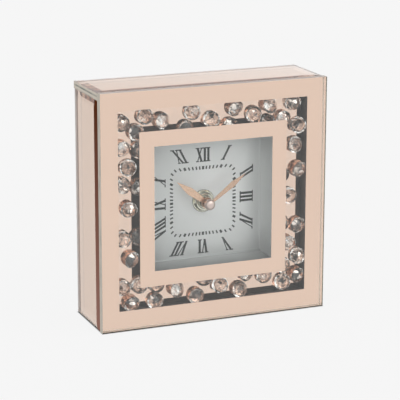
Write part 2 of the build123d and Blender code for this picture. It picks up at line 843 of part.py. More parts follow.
with BuildPart() as clock_chip:
    chip_at = (board_at[0] - board_length / 2 + board_height / 2, board_at[1])
    turned(chip_radius, board_back, board_back + chip_height, chip_at)
    chamfer(clock_chip.faces().sort_by(Axis.Y)[-1].edges(), length=chip_height / 2)
save(clock_chip, "clock_chip")

# Battery and the contacts at its two ends
battery_depth = bay_floor + battery_gap + battery_diameter / 2
battery_y = movement_y + battery_depth
battery_z = axis_z + bay_mid[1]


def battery_plane(x):
    """Plane across the battery's axis at a place along it."""
    return Plane(origin=(x, battery_y, battery_z), x_dir=(0, 1, 0), z_dir=(1, 0, 0))


with BuildPart() as battery:
    with BuildSketch(battery_plane(-battery_length / 2)):
        Circle(battery_diameter / 2)
    extrude(amount=battery_length - battery_nub_length)
    chamfer(battery.edges().filter_by(GeomType.CIRCLE), length=battery_chamfer)
    with BuildSketch(battery_plane(battery_length / 2 - battery_nub_length)):
        Circle(battery_nub_radius)
    extrude(amount=battery_nub_length)
save(battery, "battery")

contact_x = inner_width / 2 - contact_thickness
dimple_length = contact_x - battery_length / 2 - contact_gap
with BuildPart() as contact_plus:
    with BuildSketch(battery_plane(contact_x)):
        Rectangle(contact_width, contact_width)
    extrude(amount=contact_thickness)
    with BuildSketch(battery_plane(contact_x - dimple_length)):
        Circle(contact_dimple_radius)
    extrude(amount=dimple_length)
save(contact_plus, "contact_plus")

# The other contact is a bowed leaf that presses on the battery's flat end
bow = contact_room - contact_gap - contact_thickness
wall_x = -inner_width / 2
half_contact = contact_width / 2
with BuildPart() as contact_minus:
    with BuildSketch(facing(battery_y + half_contact, z=battery_z)):
        with BuildLine():
            inner_bow = ThreePointArc((wall_x, -half_contact), (wall_x + bow, 0), (wall_x, half_contact))
            outer_bow = ThreePointArc(
                (wall_x + contact_thickness, -half_contact),
                (wall_x + bow + contact_thickness, 0),
                (wall_x + contact_thickness, half_contact),
            )
            Line(inner_bow @ 0, outer_bow @ 0)
            Line(inner_bow @ 1, outer_bow @ 1)
        make_face()
    extrude(amount=contact_width)
save(contact_minus, "contact_minus")

# Minute arbor: post, cannon pinion and the journal of the centre wheel
cannon_end = motion_level + motion_thickness
journal_end = centre_level + wheel_thickness + level_gap / 2
seconds_socket = centre_level
with BuildPart() as minute_arbor:
    turned(minute_arbor_radius, minute_tip, motion_level)
    toothed(cannon_teeth, motion_module, 0, motion_level, cannon_end)
    turned(journal_radius, cannon_end, journal_end)
    turned(pivot_radius + fit_gap, seconds_socket, journal_end, mode=Mode.SUBTRACT)
save(minute_arbor, "minute_arbor")

# Motion wheel with its pinion, which turns on a stud
with BuildPart() as motion_wheel:
    toothed(motion_pinion_teeth, hour_module, 0, hour_level, motion_level, motion_at)
    toothed(motion_teeth, motion_module, motion_phase, motion_level, cannon_end, motion_at)
    turned(stud_radius + fit_gap, hour_level, cannon_end, motion_at, Mode.SUBTRACT)
save(motion_wheel, "motion_wheel")

# Hour wheel with the pipe that carries the hour hand
with BuildPart() as hour_wheel:
    toothed(hour_teeth, hour_module, hour_phase, hour_level, hour_level + motion_thickness)
    turned(hour_pipe_radius, hour_hand_face, hour_level)
    turned(minute_arbor_radius + fit_gap, hour_hand_face, hour_level + motion_thickness, mode=Mode.SUBTRACT)
save(hour_wheel, "hour_wheel")

# Wheels of the going train, from the rotor to the centre wheel
with BuildPart() as rotor:
    turned(pivot_radius, shell_wall - pivot_depth + seat_gap, bridge_end, rotor_at)
    turned(arbor_radius, shell_wall + seat_gap, bridge_level - seat_gap, rotor_at)
    turned(magnet_radius, magnet_depth, magnet_depth + magnet_length, rotor_at)
    toothed(rotor_teeth, rotor_module, 0, fifth_level, fifth_level + wheel_thickness, rotor_at)
save(rotor, "rotor")

with BuildPart() as fifth_wheel:
    turned(pivot_radius, shell_wall - pivot_depth + seat_gap, bridge_end, fifth_at)
    turned(arbor_radius, shell_wall + seat_gap, bridge_level - seat_gap, fifth_at)
    toothed(fifth_pinion_teeth, fifth_module, 0, seconds_level, fifth_level, fifth_at)
    toothed(fifth_teeth, rotor_module, fifth_phase, fifth_level, fifth_level + wheel_thickness, fifth_at)
save(fifth_wheel, "fifth_wheel")

with BuildPart() as seconds_wheel:
    turned(pivot_radius, seconds_socket + seat_gap, bridge_end)
    turned(seconds_arbor_radius, journal_end + seat_gap, bridge_level - seat_gap)
    toothed(seconds_pinion_teeth, third_module, 0, third_level, seconds_level)
    toothed(seconds_teeth, fifth_module, seconds_phase, seconds_level, seconds_level + wheel_thickness)
save(seconds_wheel, "seconds_wheel")

with BuildPart() as third_wheel:
    turned(pivot_radius, shell_wall - pivot_depth + seat_gap, bridge_end, third_at)
    turned(arbor_radius, shell_wall + seat_gap, bridge_level - seat_gap, third_at)
    toothed(third_pinion_teeth, centre_module, 0, centre_level, third_level, third_at)
    toothed(third_teeth, third_module, third_phase, third_level, third_level + wheel_thickness, third_at)
save(third_wheel, "third_wheel")

with BuildPart() as centre_wheel:
    toothed(centre_teeth, centre_module, centre_phase, centre_level, centre_level + wheel_thickness)
    turned(hub_radius, cannon_end + seat_gap, centre_level + wheel_thickness)
    turned(journal_radius + fit_gap, cannon_end, journal_end, mode=Mode.SUBTRACT)
save(centre_wheel, "centre_wheel")

# Setting knob with the pinion that turns the motion wheel
knob_start = movement_depth + knob_gap
with BuildPart() as setting_knob:
    turned(knob_radius, knob_start, knob_start + knob_height, setting_at)
    chamfer(setting_knob.faces().sort_by(Axis.Y)[-1].edges(), length=knob_chamfer)
    with BuildSketch(layout(knob_start + knob_height, setting_at)):
        with PolarLocations(knob_radius, knob_flutes):
            Circle(knob_flute_radius)
    extrude(amount=knob_height, mode=Mode.SUBTRACT)
    turned(knob_shaft_radius, cannon_end, knob_start, setting_at)
    toothed(setting_teeth, motion_module, setting_phase, motion_level, cannon_end, setting_at)
    turned(pivot_radius, shell_wall - pivot_depth + seat_gap, motion_level, setting_at)
save(setting_knob, "setting_knob")


def hand(angle, length, belly_at, belly_width, neck_width, hub, bore, back):
    """Flat lance-shaped hand on a round hub, pointing at a clock angle from twelve."""
    turn = math.radians(angle)
    face = back - hub_height
    blade_plane = Plane(
        origin=(0, movement_y + face + hand_thickness, axis_z),
        x_dir=(math.sin(turn), 0, math.cos(turn)),
        z_dir=(0, -1, 0),
    )
    with BuildPart() as blade:
        with BuildSketch(blade_plane):
            with BuildLine():
                Polyline(
                    (0, neck_width / 2), (belly_at, belly_width / 2), (length, 0),
                    (belly_at, -belly_width / 2), (0, -neck_width / 2), close=True,
                )
            make_face()
        extrude(amount=hand_thickness)
        turned(hub, face, back)
        turned(bore + press_gap, face, back, mode=Mode.SUBTRACT)
    return blade


hour_hand = hand(hour_angle, hour_hand_length, hour_belly_at, hour_belly_width, hour_neck_width,
                 hour_hub_radius, hour_pipe_radius, hour_hand_back)
save(hour_hand, "hour_hand")
minute_hand = hand(minute_angle, minute_hand_length, minute_belly_at, minute_belly_width,
                   minute_neck_width, minute_hub_radius, minute_arbor_radius, minute_hand_back)
save(minute_hand, "minute_hand")

# Domed cap over the end of the minute arbor
with BuildPart() as hand_cap:
    turned(cap_radius, cap_face, minute_hand_face)
    fillet(hand_cap.faces().sort_by(Axis.Y)[0].edges(), radius=cap_round)
    turned(minute_arbor_radius + press_gap, cap_face + cap_roof, minute_hand_face, mode=Mode.SUBTRACT)
save(hand_cap, "hand_cap")
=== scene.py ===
"""Table clock in rose mirror glass: finishes, dial print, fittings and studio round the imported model."""
import math

import bmesh
import bpy
from bpy.props import FloatProperty, FloatVectorProperty, PointerProperty
from mathutils import Matrix, Quaternion, Vector


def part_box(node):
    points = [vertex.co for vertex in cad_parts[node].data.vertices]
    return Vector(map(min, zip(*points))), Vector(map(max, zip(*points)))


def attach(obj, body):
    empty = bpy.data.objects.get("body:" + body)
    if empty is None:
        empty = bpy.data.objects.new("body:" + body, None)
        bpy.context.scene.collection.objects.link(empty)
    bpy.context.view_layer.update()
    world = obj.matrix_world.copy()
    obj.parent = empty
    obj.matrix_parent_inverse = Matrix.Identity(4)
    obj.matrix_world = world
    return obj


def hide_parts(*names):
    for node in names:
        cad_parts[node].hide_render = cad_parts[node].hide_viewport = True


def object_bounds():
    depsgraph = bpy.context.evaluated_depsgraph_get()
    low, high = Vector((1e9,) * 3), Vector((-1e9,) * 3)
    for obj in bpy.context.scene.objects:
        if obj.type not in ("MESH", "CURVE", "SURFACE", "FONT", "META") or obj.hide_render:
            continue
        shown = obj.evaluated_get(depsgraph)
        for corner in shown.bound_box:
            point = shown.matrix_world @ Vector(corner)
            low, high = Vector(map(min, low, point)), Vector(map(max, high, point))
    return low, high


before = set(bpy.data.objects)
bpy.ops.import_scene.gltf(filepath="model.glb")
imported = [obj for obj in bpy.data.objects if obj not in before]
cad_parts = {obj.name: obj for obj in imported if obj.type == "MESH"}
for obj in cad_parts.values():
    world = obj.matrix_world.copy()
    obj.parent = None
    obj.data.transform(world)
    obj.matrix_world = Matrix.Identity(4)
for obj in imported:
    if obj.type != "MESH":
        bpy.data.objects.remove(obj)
cad_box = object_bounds()

bl_info = {
    "name": "Rose Mirror Table Clock",
    "version": (1, 0, 0),
    "blender": (4, 5, 0),
    "location": "View3D > Sidebar > Clock",
    "description": "Dresses the packed clock and sets it in a studio",
    "category": "Object",
}

MM = 0.001
SKIN = 0.02 * MM  # how near to a face its mask reaches
WELL_SKIN = 0.2 * MM  # the same for the walls round the dial
SILVER_GLEAM = 0.2  # how metallic the silver paint is
DEPTH = Vector((0.0, 1.0, 0.0))
WHITE = (1.0, 1.0, 1.0)
SIDES = ("top", "bottom", "left", "right")
X, Y, Z = range(3)


def setting(kind, **fixed):
    """Makes a kind of setting, which takes a name, a description and a default."""

    def make(name, description, default):
        return kind(name=name, description=description, default=default, **fixed)

    return make


colour = setting(FloatVectorProperty, subtype="COLOR", min=0.0, max=1.0)
share = setting(FloatProperty, subtype="FACTOR", min=0.0, max=1.0)
length = setting(FloatProperty, unit="LENGTH", min=0.0)
number = setting(FloatProperty, min=0.0)
angle = setting(FloatProperty, subtype="ANGLE")
direction = setting(FloatVectorProperty, subtype="DIRECTION")
point = setting(FloatVectorProperty, subtype="XYZ")


class ClockGlass(bpy.types.PropertyGroup):
    """Glass and mirror coats."""

    rose: colour("Rose Coat", "Mirror coat seen through the glass", (0.862, 0.625, 0.512))
    # Painted shade: the side plates' coat is a darker copy of the rose coat.
    side_rose_painted_shade: colour("Side Rose Coat", "Mirror coat of the side plates", (0.776, 0.578, 0.482))
    # Painted reflection: the top plate's coat pales from its front left to its back right.
    top_near_painted_reflection: colour("Top Rose Coat", "Mirror coat of the top plate at its front left", (0.785, 0.575, 0.47))
    top_far_painted_reflection: colour("Top Pale Coat", "Mirror coat of the top plate at its back right", (0.885, 0.70, 0.625))
    clear: colour("Clear Glass", "Surface of the glass", WHITE)
    tint: colour("Edge Tint", "What the glass lets through along its length", (0.40, 0.80, 0.62))
    tint_density: number("Tint Density", "Strength of the edge tint per metre", 9.0)
    bend: number("Glass Index", "Refractive index of the plates", 1.52)
    edge: colour("Ground Edge", "Ground edges of the plates", (0.53, 0.475, 0.395))
    # The streaks are the glass's own green, darkened by painted shade.
    edge_green_shade: colour("Edge Streak", "Green streaks along the ground edges", (0.06, 0.085, 0.068))
    edge_streaks: share("Edge Streaks", "Least strength of the green streaks", 0.45)
    edge_gleam: share("Edge Gleam", "Share of light that the ground edges throw back", 0.95)
    edge_rough: share("Edge Roughness", "Roughness of the ground edges", 0.3)
    paint: colour("Back Paint", "Paint behind the front coats", (0.15, 0.16, 0.17))
    seam: colour("Seam Top", "Paint at the top of the side plates' front bevels", (0.070, 0.019, 0.006))
    seam_low: colour("Seam Foot", "Paint at the foot of the side plates' front bevels", (0.24, 0.125, 0.10))
    # Painted shade: the dark foot stands for the shade under a plate.
    foot: colour("Foot", "Dark paint under the plates", (0.035, 0.042, 0.030))
    crest: colour("Crest", "Top edge of the front plate", (0.33, 0.295, 0.275))
    # Painted shade: the right edge's dark tone stands for the shade of the glass edge; its green is the
    # glass's own.
    flank_shade_line: colour("Flank", "Right edge of the front plate", (0.46, 0.49, 0.42))
    # Painted reflection: the pale lips stand for the rose border that the mirror would show.
    lip: colour("Lip", "Paint behind the foot of a plate", (0.97, 0.80, 0.70))
    side_lip_painted_reflection: colour("Side Lip", "Paint behind the right edge of the front plate", (1.0, 0.76, 0.65))
    back_edge: colour("Back Edge", "Back edges of the side plates and the top plate", (0.78, 0.64, 0.57))
    crystal: colour("Crystal", "Glass of the cut crystals", (0.995, 0.965, 0.945))
    crystal_bend: number("Crystal Index", "Refractive index of the crystals", 1.57)
    crystal_flash: colour("Crystal Flash", "Small facets that throw the light back", (0.99, 0.89, 0.83))
    facet: length("Facet", "Size of the small facets on the crystals", 2.8 * MM)
    # Painted shade: dark lines between the small facets stand for the dark refractions in a cut stone.
    facet_shade_line: colour("Facet Line", "Lines between the small facets", (0.22, 0.17, 0.15))


class ClockCase(bpy.types.PropertyGroup):
    """Boards, mouldings and felt."""

    lacquer: colour("Lacquer", "Dark lacquer on the boards and mouldings", (0.030, 0.027, 0.026))
    felt: colour("Felt", "Pile under the base", (0.016, 0.015, 0.017))
    # Painted shade: the wall silver darkens towards the front, at the ends, and on the wall below the dial.
    well: colour("Dial Well", "Silver paint at the foot of the walls round the dial", (0.87, 0.87, 0.87))
    well_front_painted_shade: colour("Dial Well Front", "Silver paint at the front of those walls", (0.65, 0.65, 0.65))
    well_ends_painted_shade: share("Wall Ends", "Share of the silver that is left at the ends of those walls", 0.72)
    low: colour("Low Wall", "Silver paint at the foot of the wall below the dial", (0.70, 0.70, 0.70))
    low_front_painted_shade: colour("Low Wall Front", "Silver paint at the front of that wall", (0.32, 0.32, 0.32))


class ClockDial(bpy.types.PropertyGroup):
    """Dial plate and its print."""

    # Painted light and shade: the dial's silver is lightest at a spot beside its middle and darker at its
    # rim, corners and far side.
    dial_centre_painted_light: colour("Dial Centre", "Silver at the middle of the dial", (0.97, 0.96, 0.965))
    rim: colour("Dial Rim", "Silver at the edges of the dial", (0.65, 0.65, 0.65))
    corner: share("Dial Corner", "Share of the silver that is left in the corners of the dial", 0.84)
    far: share("Dial Far Side", "Share of the silver that is left farthest from the brightest place", 0.8)
    bright_side: length("Bright Side", "From the middle to the brightest place, to the right", 12.0 * MM)
    bright_up: length("Bright Up", "From the middle to the brightest place, upwards", 4.0 * MM)
    cove: length("Cove", "Radius of the cove between the dial and its walls", 1.2 * MM)
    # Painted shade on the cove below the dial.
    low_cove_painted_shade: share("Low Cove", "Share of the silver that is left in the cove below the dial", 0.86)
    ink: colour("Ink", "Numerals and minute track", (0.012, 0.013, 0.014))
    ink_depth: length("Ink Thickness", "How far the print stands on the plate", 0.08 * MM)
    foot: length("Numeral Foot", "From the hand axis to the foot of a numeral", 26.0 * MM)
    head: length("Numeral Head", "From the hand axis to the head of a numeral", 35.4 * MM)
    thick: length("Thick Stroke", "Width of a thick stroke", 1.5 * MM)
    thin: length("Thin Stroke", "Width of a thin stroke", 0.7 * MM)
    serif: length("Serif", "How far a serif passes its stroke", 0.6 * MM)
    track: length("Track Half Width", "From the hand axis to the middle of the minute track", 22.0 * MM)
    track_corner: length("Track Corner", "Corner radius of the minute track", 4.8 * MM)
    dash: length("Dash", "Length of a minute dash", 2.2 * MM)
    dash_width: length("Minute Dash Width", "Width of a minute dash", 0.95 * MM)
    five_width: length("Five Minute Dash Width", "Width of a dash at five minutes", 1.5 * MM)


class ClockMetal(bpy.types.PropertyGroup):
    """Metals, plastics and the cell."""

    hands: colour("Rose Metal", "Rose metal of the hour hand", (0.75, 0.50, 0.36))
    minute: colour("Minute Hand", "Rose metal of the minute hand", (0.65, 0.425, 0.31))
    # Painted shade in the grooves of the hands' hubs.
    hub_groove_painted_shade: colour("Hub Groove", "Grooves of the hands' hubs", (0.075, 0.05, 0.04))
    cap: colour("Cap", "Cap on the hand post", (0.74, 0.58, 0.535))
    brass: colour("Brass", "Washer, nut and bush", (0.76, 0.73, 0.62))
    rubber: colour("Rubber", "Gasket behind the dial", (0.02, 0.02, 0.02))
    steel: colour("Plated Steel", "Screws, contacts and stator", (0.62, 0.62, 0.60))
    copper: colour("Copper", "Coil wire", (0.70, 0.30, 0.14))
    dark: colour("Dark Plastic", "Movement case, cover and knob", (0.022, 0.022, 0.024))
    pale: colour("Pale Plastic", "Wheels, bridge and bobbin", (0.78, 0.76, 0.68))
    magnet: colour("Magnet", "Rotor's magnet", (0.05, 0.05, 0.055))
    magnet_grain: colour("Magnet Grain", "Light grains of the magnet", (0.16, 0.16, 0.165))
    circuit: colour("Circuit Board", "Green resist of the circuit board", (0.012, 0.12, 0.045))
    circuit_track: colour("Circuit Track", "Tracks under the resist", (0.04, 0.26, 0.10))
    jacket: colour("Cell Jacket", "Sleeve of the cell", (0.05, 0.09, 0.14))
    band: colour("Cell Band", "Band on the sleeve", (0.60, 0.60, 0.57))


class ClockStudio(bpy.types.PropertyGroup):
    """Floor, light and camera."""

    floor: colour("Floor", "Pale floor", (0.03, 0.03, 0.03))
    floor_reach: length("Floor Reach", "Half the width of the floor", 12.0)
    floor_glow: number("Floor Glow", "Light from under the floor", 0.875)
    front_sky: number("Front", "Brightness of the room behind the camera", 1.3)
    back_sky: number("Back", "Brightness of the wall behind the clock", 1.0)
    key: number("Key", "Brightness of the soft light on the right", 1.0)
    key_from: direction("Key From", "Where the key light stands", (0.45, -0.60, 0.66))
    fill: number("Fill", "Brightness of the soft light on the left", 0.1)
    fill_from: direction("Fill From", "Where the fill light stands", (-0.78, -0.45, 0.43))
    overhead: number("Overhead", "Brightness of the soft light above", 0.8)
    overhead_from: direction("Overhead From", "Where the overhead light hangs", (0.0, -0.25, 0.97))
    camera_at: point("Camera", "Where the camera stands", (-0.4326, -1.0453, 0.3701))
    camera_aim: point("Aim", "What the camera looks at", (-0.0110, -0.025, 0.0816))
    camera_roll: angle("Roll", "Turn about the line of sight", math.radians(0.11))
    lens: number("Lens", "Focal length in millimetres", 161.5)


def shaded(tone, part):
    """A colour made darker or lighter."""
    return [min(1.0, level * part) for level in tone]


def middle_of(name):
    """Middle of a CAD node's box."""
    low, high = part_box(name)
    return (low + high) / 2


def half_well():
    """Half the width of the well round the dial."""
    return -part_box("moulding_left")[1].x


def four(stem):
    """Names of the four nodes that share a stem."""
    return [stem + side for side in SIDES]


class Nodes:
    """Short calls for the node patterns that the finishes and the light share."""

    # A mix node repeats its sockets' names for each kind of value, so its colours go by number.
    mix_share, mix_first, mix_second, mix_result = 0, 6, 7, 2

    def __init__(self, tree, coordinates):
        self.tree = tree
        self.place = self.made("ShaderNodeTexCoord")[coordinates]

    def feed(self, socket, value):
        """Links a socket, or sets it where the value is a constant."""
        if isinstance(value, bpy.types.NodeSocket):
            self.tree.links.new(value, socket)
        else:
            socket.default_value = value

    def made(self, kind, sockets=None, **settings):
        """Outputs of a new node with these settings, and these values on its sockets."""
        node = self.tree.nodes.new(kind)
        for key, value in settings.items():
            setattr(node, key, value)
        for key, value in (sockets or {}).items():
            self.feed(node.inputs[key], value)
        return node.outputs

    def sums(self, operation, *values):
        return self.made("ShaderNodeMath", dict(enumerate(values)), operation=operation)[0]

    def vectors(self, operation, *values):
        return self.made("ShaderNodeVectorMath", dict(enumerate(values)), operation=operation)

    def split(self, vector):
        return self.made("ShaderNodeSeparateXYZ", {"Vector": vector})

    def axes(self):
        return self.split(self.place)

    def above(self, value, limit):
        return self.sums("GREATER_THAN", value, limit)

    def below(self, value, limit):
        return self.sums("LESS_THAN", value, limit)

    def away(self, value, middle=0.0):
        """Distance of a value from a middle."""
        return self.sums("ABSOLUTE", self.sums("SUBTRACT", value, middle))

    def either(self, *masks):
        whole = masks[0]
        for mask in masks[1:]:
            whole = self.sums("MAXIMUM", whole, mask)
        return whole

    def both(self, first, second):
        return self.sums("MULTIPLY", first, second)

    def mapped(self, scale=(1.0, 1.0, 1.0), shift=(0.0, 0.0, 0.0)):
        """Places stretched, then shifted."""
        return self.made("ShaderNodeMapping", {"Vector": self.place, "Scale": scale, "Location": shift})[0]

    def noise(self, size, detail=3.0, stretch=None):
        """Noise with grains of about that size in metres."""
        place = self.mapped(stretch) if stretch else self.place
        sockets = {"Vector": place, "Scale": 1.0 / size, "Detail": detail}
        return self.made("ShaderNodeTexNoise", sockets)["Fac"]

    def cells(self, feature, size, randomness=1.0):
        """Cells of about that size in metres."""
        sockets = {"Vector": self.place, "Scale": 1.0 / size, "Randomness": randomness}
        return self.made("ShaderNodeTexVoronoi", sockets, feature=feature)

    def wave(self, place, pitch, distortion=0.0, **kind):
        """Bands or rings that lie a pitch apart."""
        sockets = {"Vector": place, "Scale": math.pi / 10 / pitch, "Distortion": distortion}
        return self.made("ShaderNodeTexWave", sockets, **kind)["Fac"]

    def spread(self, value, low, high, start=0.0, end=1.0, ramp="LINEAR"):
        """Takes a value from between start and end to between low and high."""
        limits = {"From Min": start, "From Max": end, "To Min": low, "To Max": high}
        return self.made("ShaderNodeMapRange", {"Value": value, **limits}, interpolation_type=ramp)["Result"]

    def eased(self, value, low, high, start, end):
        """The same with soft ends."""
        return self.spread(value, low, high, start, end, "SMOOTHSTEP")

    def mix(self, mask, first, second):
        """First colour where the mask is 0 and second where it is 1."""
        sockets = {self.mix_share: mask}
        for key, tone in ((self.mix_first, first), (self.mix_second, second)):
            sockets[key] = tone if isinstance(tone, bpy.types.NodeSocket) else (*tone, 1.0)
        return self.made("ShaderNodeMix", sockets, data_type="RGBA")[self.mix_result]

    def mottled(self, base, size, amount):
        """A colour that wanders a little lighter and darker."""
        return self.mix(self.noise(size), shaded(base, 1.0 - amount), shaded(base, 1.0 + amount))

    def dimmed(self, base, amount):
        """A colour times an amount."""
        return self.made("ShaderNodeVectorMath", {0: base, "Scale": amount}, operation="SCALE")[0]


class Finish(Nodes):
    """A node material on the object's own coordinates."""

    def __init__(self, name):
        self.material = bpy.data.materials.new(name)
        self.material.use_nodes = True
        super().__init__(self.material.node_tree, "Object")
        self.shader = self.tree.nodes["Principled BSDF"]

    def give(self, **values):
        """Sets or links the shader's own sockets: spaces are written as underscores."""
        for key, value in values.items():
            if key in ("Base_Color", "Emission_Color") and not isinstance(value, bpy.types.NodeSocket):
                value = (*value, 1.0)
            self.feed(self.shader.inputs[key.replace("_", " ")], value)

    def surface(self, tone, patch, wander, grain, rough, detail=3.0, **more):
        """Colour that wanders over patches, and roughness that follows a grain, with sizes in metres."""
        self.give(
            Base_Color=self.mottled(tone, patch, wander),
            Roughness=self.spread(self.noise(grain, detail), *rough),
            **more,
        )

    def metal(self, tone, grain, *rough, metallic=1.0):
        """Bare metal whose roughness follows a grain."""
        self.give(Base_Color=tone, Metallic=metallic, Roughness=self.spread(grain, *rough))

    def mirror_coat(self, tone):
        """Mirror coat that wanders a little over wide patches."""
        return self.mottled(tone, 60 * MM, 0.012)

    def bump(self, height, distance, strength=1.0):
        sockets = {"Height": height, "Distance": distance, "Strength": strength}
        self.give(Normal=self.made("ShaderNodeBump", sockets)["Normal"])

    def window(self, pick="MAXIMUM"):
        """The larger or the smaller of the distances across and up from the window's middle."""
        x, _, z = self.axes()
        middle = middle_of("dial_border_coat")
        return self.sums(pick, self.away(x, middle.x), self.away(z, middle.z))

    def corner_painted_shade(self, left, start, half):
        """Painted shade in the window's corners: falls from 1 to what is left there, from a share of its
        half width.
        """
        return self.eased(self.window("MINIMUM"), 1.0, left, start * half, half)


def wear(finish, *names):
    """Puts a finish on CAD nodes."""
    for name in names:
        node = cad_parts[name]
        if not node.material_slots:
            node.data.materials.append(None)
        for socket in node.material_slots:
            socket.material = finish.material


def formed(bm, name):
    """Makes an object of a bmesh, at the origin."""
    mesh = bpy.data.meshes.new(name)
    bm.to_mesh(mesh)
    bm.free()
    made = bpy.data.objects.new(name, mesh)
    bpy.context.scene.collection.objects.link(made)
    return made


def settle(bm, name, finish, body):
    """Makes a piece of a bmesh that rides on a body."""
    bmesh.ops.recalc_face_normals(bm, faces=bm.faces)
    piece = formed(bm, name)
    piece.data.materials.append(finish.material)
    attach(piece, body)
    return piece


def bar(bm, middle, across, depth, along):
    """A bar with these three edges."""
    columns = Matrix((across, depth, along)).transposed().to_4x4()
    bmesh.ops.create_cube(bm, size=1.0, matrix=Matrix.Translation(middle) @ columns)


def spokes(turn):
    """Directions across and out, at a turn clockwise from the top."""
    return Vector((math.cos(turn), 0.0, -math.sin(turn))), Vector((math.sin(turn), 0.0, math.cos(turn)))


def plate_glass(name, nodes, axis, coated, ground, painted):
    """Plates of clear glass with rose mirror faces, ground edges and painted places, as these masks say."""
    settings = bpy.context.scene.clock_glass
    glass = Finish(name)
    mask, rose = coated(glass)
    edge = ground(glass)
    face = glass.mix(mask, settings.clear, rose)

    # A ground edge has a dark green streak along its core and one along each rim: the green is the glass's
    # own, its darkness is painted shade.
    low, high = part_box(nodes[0])
    half = (high[axis] - low[axis]) / 2
    core_start, core_end, rim_start = (part * half for part in (0.08, 0.30, 0.72))
    out = glass.away(glass.axes()[axis], (low[axis] + high[axis]) / 2)
    core = glass.eased(out, 1.0, 0.0, core_start, core_end)
    rims = glass.eased(out, 0.0, 1.0, rim_start, half)
    patches = glass.spread(glass.noise(9 * MM), settings.edge_streaks, 1.0, start=0.45, end=0.65)
    streaks = glass.both(glass.either(core, rims), patches)
    face = glass.mix(edge, face, glass.mix(streaks, settings.edge, settings.edge_green_shade))

    paint, shade = painted(glass)
    bare = glass.spread(paint, 1.0, 0.0)
    smear = glass.spread(glass.noise(45 * MM, detail=4.0), 0.0, 0.012, start=0.45, end=0.75)
    glass.give(
        Base_Color=glass.mix(paint, face, shade),
        Metallic=glass.both(bare, glass.either(mask, glass.both(edge, settings.edge_gleam))),
        Roughness=glass.either(smear, glass.both(edge, settings.edge_rough)),
        IOR=settings.bend,
        Transmission_Weight=bare,
        Specular_IOR_Level=glass.spread(paint, 0.5, 0.0),
    )
    tint = {"Color": (*settings.tint, 1.0), "Density": settings.tint_density}
    inside = glass.made("ShaderNodeVolumeAbsorption", tint)["Volume"]
    glass.feed(glass.tree.nodes["Material Output"].inputs["Volume"], inside)
    wear(glass, *nodes)


